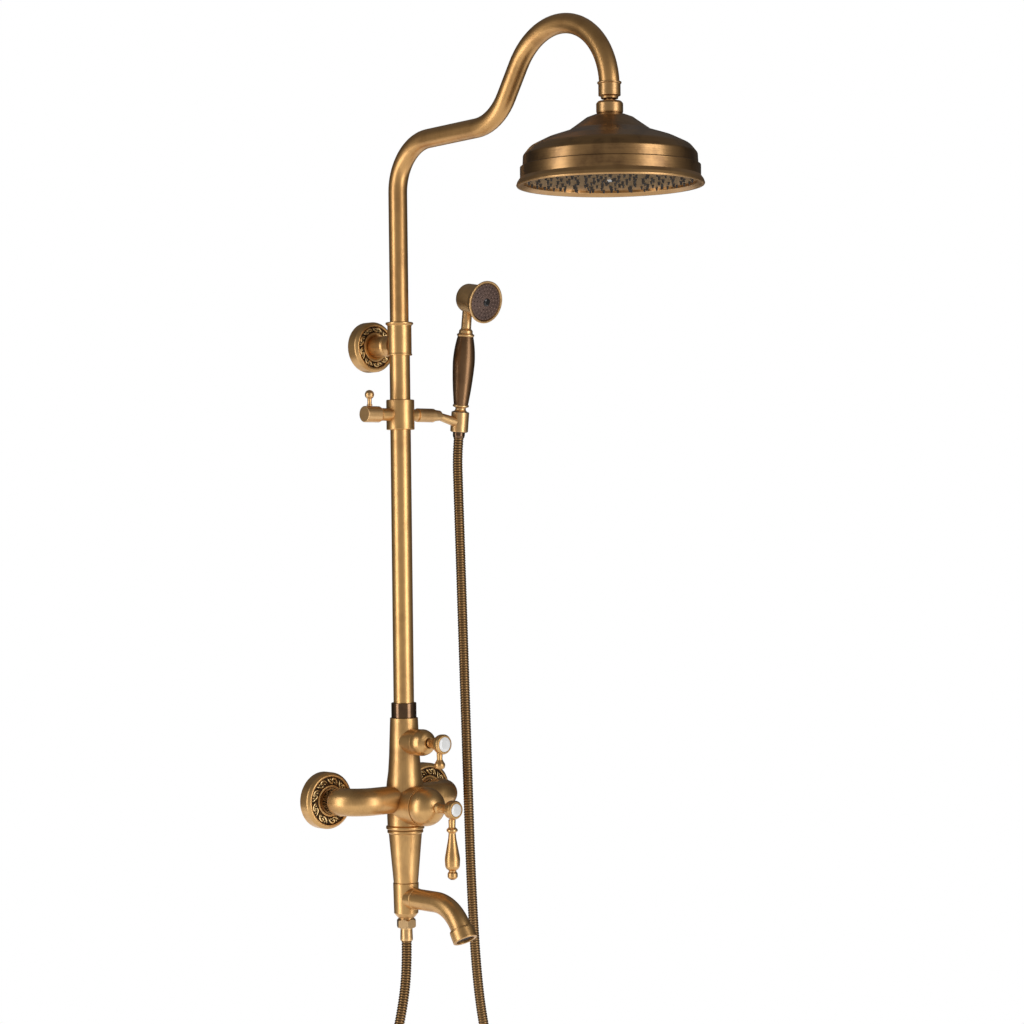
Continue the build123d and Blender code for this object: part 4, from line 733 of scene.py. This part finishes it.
@dataclass
class LooseHose:
    """The metal hose, in four stretches cut at heights on its rising leg."""

    diameter: float = 12.0
    pitch: float = 3.1
    depth: float = 0.16
    route: tuple[Point, ...] = (
        (0.0, -60.0, -166.0), (0.0, -60.0, -190.0), (-3.0, -59.5, -226.0),
        (-13.0, -58.0, -272.0), (-32.0, -55.0, -332.0), (-52.0, -51.0, -396.0),
        (-58.0, -48.0, -462.0), (-38.0, -46.5, -521.0), (9.0, -46.5, -560.0),
        (72.0, -48.0, -571.0), (128.0, -50.5, -545.0), (159.0, -53.0, -489.0),
        (160.0, -55.5, -424.0), (142.0, -57.0, -360.0), (124.0, -57.0, -300.0),
        (111.0, -57.0, -228.0), (103.6, -57.0, -112.0), (100.87, -56.46, 4.2),
        (92.35, -54.79, 366.8), (91.9, -54.7, 386.0), (91.5, -55.576, 405.17),
        (91.5, -57.648, 422.04),
    )
    cuts: tuple[float, ...] = (100.0, 270.0, 345.0)
    stretches: tuple[HoseStretch, ...] = (
        HoseStretch("hose_loop_wound", ("column", "liner"), (-25.0, -48.0, -480.0),
                    (92.0, -52.0, -480.0), 1.203, "hanging"),
        HoseStretch("hose_rise_wound", ("liner", "clamp"), (98.6, -56.0, 100.0),
                    (94.6, -55.2, 270.0), 0.170, "hanging"),
        HoseStretch("hose_neck_wound", ("clamp", "cradle"), (94.6, -55.2, 270.0),
                    (92.8, -54.9, 345.0), 0.075, "hanging"),
        HoseStretch("hose_tail_wound", ("cradle", "handset"), (92.8, -54.9, 345.0),
                    (91.5, -57.6, 421.0), 0.077, "hanging"),
    )

    def centreline(self) -> list[Vector]:
        """Reads the route's smooth line.

        Returns:
            Points close together along the spline, in metres.
        """
        curve = bpy.data.curves.new("hose_route", "CURVE")
        curve.dimensions = "3D"
        spline = curve.splines.new("NURBS")
        spline.points.add(len(self.route) - 1)
        for point, place in zip(spline.points, self.route):
            point.co = (*metres(place), 1.0)
        spline.order_u = 3
        spline.use_endpoint_u = True
        spline.resolution_u = 24
        carrier = bpy.data.objects.new("hose_route", curve)
        bpy.context.scene.collection.objects.link(carrier)
        bpy.context.view_layer.update()
        evaluated = carrier.evaluated_get(bpy.context.evaluated_depsgraph_get())
        mesh = bpy.data.meshes.new_from_object(evaluated)
        line = [vertex.co.copy() for vertex in mesh.vertices]
        bpy.data.objects.remove(carrier)
        bpy.data.meshes.remove(mesh)
        return line

    def split(self, line: Sequence[Vector]) -> list[list[Vector]]:
        """Splits the line where its rising leg passes each cut.

        Args:
            line: The whole centreline.

        Returns:
            One list of points for each stretch, each starting where the last one ends.
        """
        parts: list[list[Vector]] = [[line[0]]]
        for before, here in zip(line, line[1:]):
            level = self.cuts[len(parts) - 1] * MM if len(parts) <= len(self.cuts) else None
            if level is not None and before.z < level <= here.z:
                share = (level - before.z) / (here.z - before.z)
                cut = before.lerp(here, share)
                parts[-1].append(cut)
                parts.append([cut.copy()])
            parts[-1].append(here)
        return parts

    def build(self, palette: Palette) -> None:
        """Args:
            palette: The materials.
        """
        tree = hose_tree()
        parts = self.split(self.centreline())
        done = 0.0
        for stretch, points in zip(self.stretches, parts):
            seed = mesh_from(stretch.name, points,
                             edges=[(i, i + 1) for i in range(len(points) - 1)])
            values = {"Radius": self.diameter * MM / 2, "Pitch": self.pitch * MM,
                      "Depth": self.depth, "Phase": done, "Step": self.pitch * MM / 6,
                      "Finish": palette.material("hose")}
            piece = tree.grow(stretch.name, seed, values)
            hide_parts(stretch.name.replace("_wound", ""))
            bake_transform(piece)
            done += sum((b - a).length for a, b in zip(points, points[1:]))
            LOG.info("%s has %d faces", piece.name, len(piece.data.polygons))


# ---- flange ornament ----
@dataclass(frozen=True)
class Stroke:
    """One raised stroke of the ornament: places across its unit and its widths, tip to tip."""

    places: tuple[tuple[float, float], ...]
    widths: tuple[float, ...]


SCROLL = (
    Stroke(((-0.47, 0.06), (-0.40, 0.34), (-0.28, 0.66), (-0.12, 0.86), (0.04, 0.82),
            (0.09, 0.60), (0.00, 0.47), (-0.09, 0.56)),
           (0.35, 1.0, 1.35, 1.4, 1.25, 1.0, 0.85, 0.55)),
    Stroke(((0.46, 0.95), (0.40, 0.68), (0.30, 0.36), (0.17, 0.14), (0.03, 0.14),
            (-0.05, 0.28)),
           (0.35, 0.95, 1.3, 1.3, 1.0, 0.5)),
    Stroke(((-0.30, 0.08), (-0.22, 0.26), (-0.13, 0.36)), (0.5, 1.0, 0.45)),
    Stroke(((0.20, 0.92), (0.24, 0.74), (0.20, 0.56)), (0.5, 1.05, 0.45)),
)
STROKE_STEPS = 4
STROKE_SIDES = 6
STROKE_HALF = 1.05


@dataclass
class FlangeOrnament:
    """Ring of raised scrolls in the sunk band of a wall flange."""

    name: str
    axis_x: float
    axis_z: float
    band: tuple[float, float]
    units: int
    floor: float = 14.05
    rise: float = 1.75

    def line(self, stroke: Stroke) -> list[tuple[Vector, float]]:
        """Smooth line of a stroke in the flange's own frame.

        Args:
            stroke: The stroke.

        Returns:
            Points and half widths, in millimetres.
        """
        inner, outer = self.band[0] + 0.9, self.band[1] - 0.9
        pitch = math.tau / self.units
        knots = list(zip(stroke.places, stroke.widths))
        made = []
        for number in range(len(knots) - 1):
            around = [knots[max(0, min(len(knots) - 1, number + k))] for k in (-1, 0, 1, 2)]
            for step in range(STROKE_STEPS + (number == len(knots) - 2)):
                t = step / STROKE_STEPS
                turn, reach, width = (
                    flowing([value(knot) for knot in around], t)
                    for value in (lambda k: k[0][0], lambda k: k[0][1], lambda k: k[1])
                )
                radius = inner + (outer - inner) * reach
                angle = turn * pitch
                made.append((Vector((radius * math.cos(angle), radius * math.sin(angle), 0.0)),
                             max(width, 0.3) * STROKE_HALF))
        return made

    def unit(self) -> bpy.types.Mesh:
        """Mesh of one unit of the ornament, each stroke a closed rounded ridge.

        Returns:
            The mesh, in millimetres.
        """
        points: list[Vector] = []
        faces: list[tuple[int, ...]] = []
        for stroke in SCROLL:
            line = self.line(stroke)
            first = len(points)
            for number, (place, half) in enumerate(line):
                ahead = line[min(number + 1, len(line) - 1)][0]
                behind = line[max(number - 1, 0)][0]
                side = (ahead - behind).normalized().cross(Vector((0, 0, 1)))
                height = self.rise * min(1.0, half / STROKE_HALF)
                for k in range(STROKE_SIDES):
                    angle = math.pi * k / (STROKE_SIDES - 1)
                    lift = math.sin(angle) ** 0.7 * height
                    points.append(place + side * (math.cos(angle) * half)
                                  + Vector((0, 0, self.floor + lift)))
            ring = STROKE_SIDES
            for number in range(len(line) - 1):
                base = first + number * ring
                faces += [(base + k, base + (k + 1) % ring, base + ring + (k + 1) % ring,
                           base + ring + k) for k in range(ring)]
            faces.append(tuple(range(first, first + ring)))
            last = first + (len(line) - 1) * ring
            faces.append(tuple(range(last, last + ring)))
        return mesh_from(self.name, points, faces)

    def build(self, palette: Palette, tree: GrowthTree) -> None:
        """Repeats the unit round the flange and puts it on the column.

        Args:
            palette: The materials.
            tree: The tree that repeats round an axis.
        """
        place = placement((self.axis_x, 0.0, self.axis_z), (1, 0, 0), (0, -1, 0))
        values = {"Count": self.units, "First turn": 0.0, "Finish": palette.material("ornament")}
        piece = tree.grow(self.name, self.unit(), values, place)
        ride(piece, "column")


def flowing(values: Sequence[float], t: float) -> float:
    """Value on a smooth line through four knots, between the middle two.

    Args:
        values: The four knots.
        t: Place between the middle two, from 0 to 1.

    Returns:
        The value.
    """
    a, b, c, d = values
    return 0.5 * (2 * b + (c - a) * t + (2 * a - 5 * b + 4 * c - d) * t * t
                  + (3 * b - a - 3 * c + d) * t ** 3)


# ---- spray face and rain head ----
@dataclass
class SprayFace:
    """Rings of small raised marks on the hand shower's spray face."""

    head: float = 147.5
    pitch: float = 6.0
    face_out: float = 33.0
    crown: float = 0.4
    crown_fall: float = 1.2
    crown_start: float = 4.4
    crown_reach: float = 16.95
    mark_sink: float = 0.12
    mark_height: float = 0.34
    ring_turn: float = 0.11
    button_r: float = 4.3
    button_sink: float = 0.3
    button_height: float = 2.1
    button_sides: int = 32
    rings: tuple[tuple[float, int, float, float], ...] = (
        (6.3, 14, 0.9, 0.55), (7.9, 18, 0.55, 0.55), (11.1, 16, 1.5, 0.6), (12.3, 24, 0.5, 0.5),
        (15.8, 22, 0.6, 1.5), (17.0, 34, 0.5, 0.5), (20.3, 30, 0.6, 1.3),
    )

    def frame(self) -> Matrix:
        """Placement of the face, whose Z points out of it."""
        lean, pitch = math.radians(HANDSET_LEAN), math.radians(90.0 - self.pitch)
        up = Vector((0.0, -math.sin(lean), math.cos(lean)))
        back = Vector((0.0, math.cos(lean), math.sin(lean)))
        out = -back * math.sin(pitch) - up * math.cos(pitch)
        centre = Vector(HANDSET_ORIGIN) + up * self.head
        return placement(centre, (1, 0, 0), out)

    def level(self, reach: float) -> float:
        """Height of the face's crowned surface at a reach from its centre."""
        fall = self.crown_fall * (reach - self.crown_start) / self.crown_reach
        return self.face_out + self.crown - fall

    def build(self, palette: Palette, tree: GrowthTree) -> None:
        """Makes the marks as one piece that rides on the hand shower.

        Args:
            palette: The materials.
            tree: The tree that repeats round an axis.
        """
        place = self.frame()
        made = []
        for number, (reach, count, along, across) in enumerate(self.rings):
            foot = (reach, 0.0, self.level(reach) - self.mark_sink)
            seed = pad("mark", foot, across, along, self.mark_height)
            values = {"Count": count, "First turn": self.ring_turn * number,
                      "Finish": palette.material("dash")}
            made.append(tree.grow(f"face_marks_{number}", seed, values, place))
        ride(joined("face_marks", made, palette.material("dash")), "handset")
        width = 2 * self.button_r
        mesh = pad("face_button", (0.0, 0.0, self.level(0.0) - self.button_sink), width, width,
                   self.button_height, self.button_sides)
        mesh.transform(place)
        mesh.materials.append(palette.material("button"))
        button = bpy.data.objects.new("face_button", mesh)
        bpy.context.scene.collection.objects.link(button)
        ride(button, "handset")


def pad(name: str, centre: Point, size_x: float, size_y: float, height: float,
        sides: int = 8) -> bpy.types.Mesh:
    """Small chamfered pad that stands on a surface facing +Z.

    Args:
        name: The mesh's name.
        centre: The middle of its base.
        size_x: Full size along X.
        size_y: Full size along Y.
        height: Its height.
        sides: How many sides it has.

    Returns:
        The closed mesh.
    """
    levels = ((0.0, 1.0), (height * 0.6, 0.96), (height, 0.6))
    points = []
    for rise, share in levels:
        for k in range(sides):
            angle = math.tau * (k + 0.5) / sides
            points.append((centre[0] + size_x / 2 * share * math.cos(angle) * 1.08,
                           centre[1] + size_y / 2 * share * math.sin(angle) * 1.08,
                           centre[2] + rise))
    faces = [tuple(reversed(range(sides))), tuple(range(2 * sides, 3 * sides))]
    for ring in (0, sides):
        faces += [(ring + k, ring + (k + 1) % sides,
                   ring + sides + (k + 1) % sides, ring + sides + k) for k in range(sides)]
    return mesh_from(name, points, faces)


def joined(name: str, pieces: Sequence[bpy.types.Object],
           material: bpy.types.Material) -> bpy.types.Object:
    """Joins pieces of one finish into one mesh object.

    Args:
        name: The new piece's name.
        pieces: What is joined; they are removed.
        material: Their finish.

    Returns:
        The joined piece.
    """
    work = bmesh.new()
    for piece in pieces:
        work.from_mesh(piece.data)
    mesh = bpy.data.meshes.new(name)
    work.to_mesh(mesh)
    work.free()
    for face in mesh.polygons:
        face.material_index = 0
    mesh.materials.append(material)
    for piece in pieces:
        bpy.data.objects.remove(piece)
    whole = bpy.data.objects.new(name, mesh)
    bpy.context.scene.collection.objects.link(whole)
    return whole


@dataclass
class RainTips:
    """Extra rings of small spray tips between the main nozzles of the rain head."""

    plate_z: float = 685.0
    length: float = 3.1
    radius: float = 1.5
    rings: tuple[tuple[float, int], ...] = ((9.0, 6), (27.0, 12), (46.0, 20), (67.0, 28), (87.5, 36))

    def tip(self, reach: float) -> bpy.types.Mesh:
        """One tapered tip that hangs from the plate.

        Args:
            reach: Its distance from the head's axis.

        Returns:
            The closed mesh.
        """
        section = ((0.2, self.radius), (-0.5, self.radius), (-1.0, self.radius * 0.72),
                   (-self.length, self.radius * 0.58))
        points = []
        for height, radius in section:
            points += [(reach + radius * math.cos(math.tau * k / 10),
                        radius * math.sin(math.tau * k / 10), height) for k in range(10)]
        faces = [tuple(range(10)), tuple(reversed(range(30, 40)))]
        for ring in (0, 10, 20):
            faces += [(ring + k, ring + 10 + k, ring + 10 + (k + 1) % 10, ring + (k + 1) % 10)
                      for k in range(10)]
        return mesh_from("tip", points, faces)

    def build(self, palette: Palette, tree: GrowthTree) -> None:
        """Makes the tips as one piece that rides on the head.

        Args:
            palette: The materials.
            tree: The tree that repeats round an axis.
        """
        place = placement((0.0, -HEAD_OUT, self.plate_z), (1, 0, 0), (0, 0, 1))
        made = []
        for number, (reach, count) in enumerate(self.rings):
            values = {"Count": count, "First turn": 0.09 * number,
                      "Finish": palette.material("tips")}
            made.append(tree.grow(f"rain_tips_{number}", self.tip(reach), values, place))
        ride(joined("rain_tips", made, palette.material("tips")), "head")


# ---- studio ----
@dataclass
class Studio:
    """Camera, soft boxes, pale surroundings and floor."""

    eye: Point = (-1.928, -2.394, 0.3306)
    view: tuple[float, float] = (0.6691, 0.7431)
    lens: float = 91.03
    roll: float = -0.68
    shift: float = 0.00195
    floor_z: float = -0.95
    floor_radius: float = 3.0
    aim: Point = (0.0, -0.15, 0.30)
    glow_behind: Colour = (0.05, 0.048, 0.045)
    glow_before: Colour = (0.36, 0.355, 0.35)
    glow_above: Colour = (0.15, 0.15, 0.15)
    boxes: tuple[tuple[str, float, float, float, float, float], ...] = (
        ("soft_left", -62.0, 2.2, 0.80, 2.4, 19.0),
        ("soft_right", 52.0, 2.2, 1.00, 2.4, 24.0),
    )

    def camera(self) -> None:
        """Places the camera."""
        data = bpy.data.cameras.new("camera")
        data.sensor_width = 36.0
        data.lens = self.lens
        data.shift_y = self.shift
        data.clip_start, data.clip_end = 0.05, 100.0
        eye = bpy.data.objects.new("camera", data)
        bpy.context.scene.collection.objects.link(eye)
        turn = Vector((*self.view, 0.0)).to_track_quat("-Z", "Y").to_matrix().to_4x4()
        eye.matrix_world = (Matrix.Translation(self.eye) @ turn
                            @ Matrix.Rotation(math.radians(self.roll), 4, "Z"))
        bpy.context.scene.camera = eye

    def soft_box(self, name: str, bearing: float, distance: float, width: float, height: float,
                 power: float, rise: float = 0.35) -> None:
        """Adds a tall soft light that faces the column.

        Args:
            name: The light's name.
            bearing: Degrees from the viewing direction, positive to the right.
            distance: How far it stands from the column, in metres.
            width: Its width.
            height: Its height.
            power: Its power in watts.
            rise: Height of its middle.
        """
        toward = Vector((-self.view[0], -self.view[1], 0.0))
        direction = Matrix.Rotation(math.radians(bearing), 3, "Z") @ toward
        data = bpy.data.lights.new(name, "AREA")
        data.shape, data.size, data.size_y, data.energy = "RECTANGLE", width, height, power
        lamp = bpy.data.objects.new(name, data)
        bpy.context.scene.collection.objects.link(lamp)
        aim = Vector(self.aim)
        place = Vector((aim.x, aim.y, 0.0)) + direction * distance + Vector((0, 0, rise))
        look = (Vector((aim.x, aim.y, rise)) - place).to_track_quat("-Z", "Y")
        lamp.matrix_world = Matrix.Translation(place) @ look.to_matrix().to_4x4()

    def surroundings(self) -> None:
        """White surroundings to look at, and a softer, darker room in reflections."""
        world = bpy.data.worlds.new("studio")
        world.use_nodes = True
        bpy.context.scene.world = world
        graph = Graph(world.node_tree)
        plain = find_socket_node(graph, "BACKGROUND")
        output = find_socket_node(graph, "OUTPUT_WORLD")
        way = graph.term(graph.add("ShaderNodeTexCoord"), "Generated")
        front = graph.add("ShaderNodeVectorMath", {"operation": "DOT_PRODUCT"},
                          {"Vector": way, "Vector_001": (-self.view[0], -self.view[1], 0.0)})
        parts = graph.add("ShaderNodeSeparateXYZ", None, {"Vector": way})
        facing = graph.ease(graph.term(front, "Value"), -0.6, 0.7)
        overhead = graph.ease(graph.term(parts, "Z"), 0.15, 0.9)
        glow = graph.mix(facing, self.glow_behind, self.glow_before)
        glow = graph.mix(overhead, glow, self.glow_above)
        graph.feed(plain.inputs["Color"], glow)
        white = graph.add("ShaderNodeBackground", None, {"Color": (1.0, 1.0, 1.0)})
        seen = graph.term(graph.add("ShaderNodeLightPath"), "Is Camera Ray")
        both = graph.add("ShaderNodeMixShader", None,
                         {"Fac": seen, "Shader": graph.term(plain),
                          "Shader_001": graph.term(white)})
        graph.feed(output.inputs["Surface"], graph.term(both))

    def floor(self) -> None:
        """Pale round floor that fades into the surroundings at its edge."""
        rings, sides = 12, 64
        points = [(0.0, 0.0, self.floor_z)]
        for ring in range(1, rings + 1):
            radius = self.floor_radius * ring / rings
            points += [(radius * math.cos(math.tau * k / sides) + self.aim[0],
                        radius * math.sin(math.tau * k / sides) + self.aim[1], self.floor_z)
                       for k in range(sides)]
        faces = [(0, 1 + k, 1 + (k + 1) % sides) for k in range(sides)]
        for ring in range(rings - 1):
            base = 1 + ring * sides
            faces += [(base + k, base + sides + k, base + sides + (k + 1) % sides,
                       base + (k + 1) % sides) for k in range(sides)]
        mesh = mesh_from("floor", points, faces)
        material = bpy.data.materials.new("pale_floor")
        material.use_nodes = True
        graph = Graph(material.node_tree)
        shader = find_socket_node(graph, "BSDF_PRINCIPLED")
        output = find_socket_node(graph, "OUTPUT_MATERIAL")
        place = graph.term(graph.add("ShaderNodeTexCoord"), "Object")
        cloud = graph.noise(place, 3.0)
        graph.feed(shader.inputs["Base Color"],
                   graph.mix(cloud, (0.88, 0.88, 0.87), (0.92, 0.92, 0.91)))
        shader.inputs["Roughness"].default_value = 0.9
        parts = graph.add("ShaderNodeSeparateXYZ", None, {"Vector": place})
        x, y = graph.term(parts, "X"), graph.term(parts, "Y") - self.aim[1]
        reach = graph.math("SQRT", x * x + y * y)
        edge = 0.72 + graph.ease(reach, 0.2 * self.floor_radius, 0.96 * self.floor_radius) * 0.28
        glow = graph.add("ShaderNodeEmission", None, {"Color": (1.0, 1.0, 1.0)})
        both = graph.add("ShaderNodeMixShader", None,
                         {"Fac": edge, "Shader": graph.term(shader),
                          "Shader_001": graph.term(glow)})
        graph.feed(output.inputs["Surface"], graph.term(both))
        mesh.materials.append(material)
        floor = bpy.data.objects.new("floor", mesh)
        bpy.context.scene.collection.objects.link(floor)

    def build(self) -> None:
        """Makes the lights, surroundings and floor."""
        bpy.context.scene.view_settings.view_transform = "Standard"
        for box in self.boxes:
            self.soft_box(*box)
        self.surroundings()
        self.floor()


def main() -> None:
    """Builds the shower column's looks round its frame, piece by piece."""
    logging.basicConfig(level=logging.INFO, format="%(message)s")
    studio = Studio()
    palette = Palette()
    studio.camera()
    LooseHose().build(palette)
    palette.dress_nodes()
    round_axis = wheel_tree()
    FlangeOrnament("scrolls_left", -INLET_X, 0.0, INLET_BAND, 9).build(palette, round_axis)
    FlangeOrnament("scrolls_right", INLET_X, 0.0, INLET_BAND, 9).build(palette, round_axis)
    FlangeOrnament("scrolls_upper", 0.0, BRACKET_Z, BRACKET_BAND, 9).build(palette, round_axis)
    SprayFace().build(palette, round_axis)
    RainTips().build(palette, round_axis)
    studio.build()


if __name__ == "__main__":
    main()
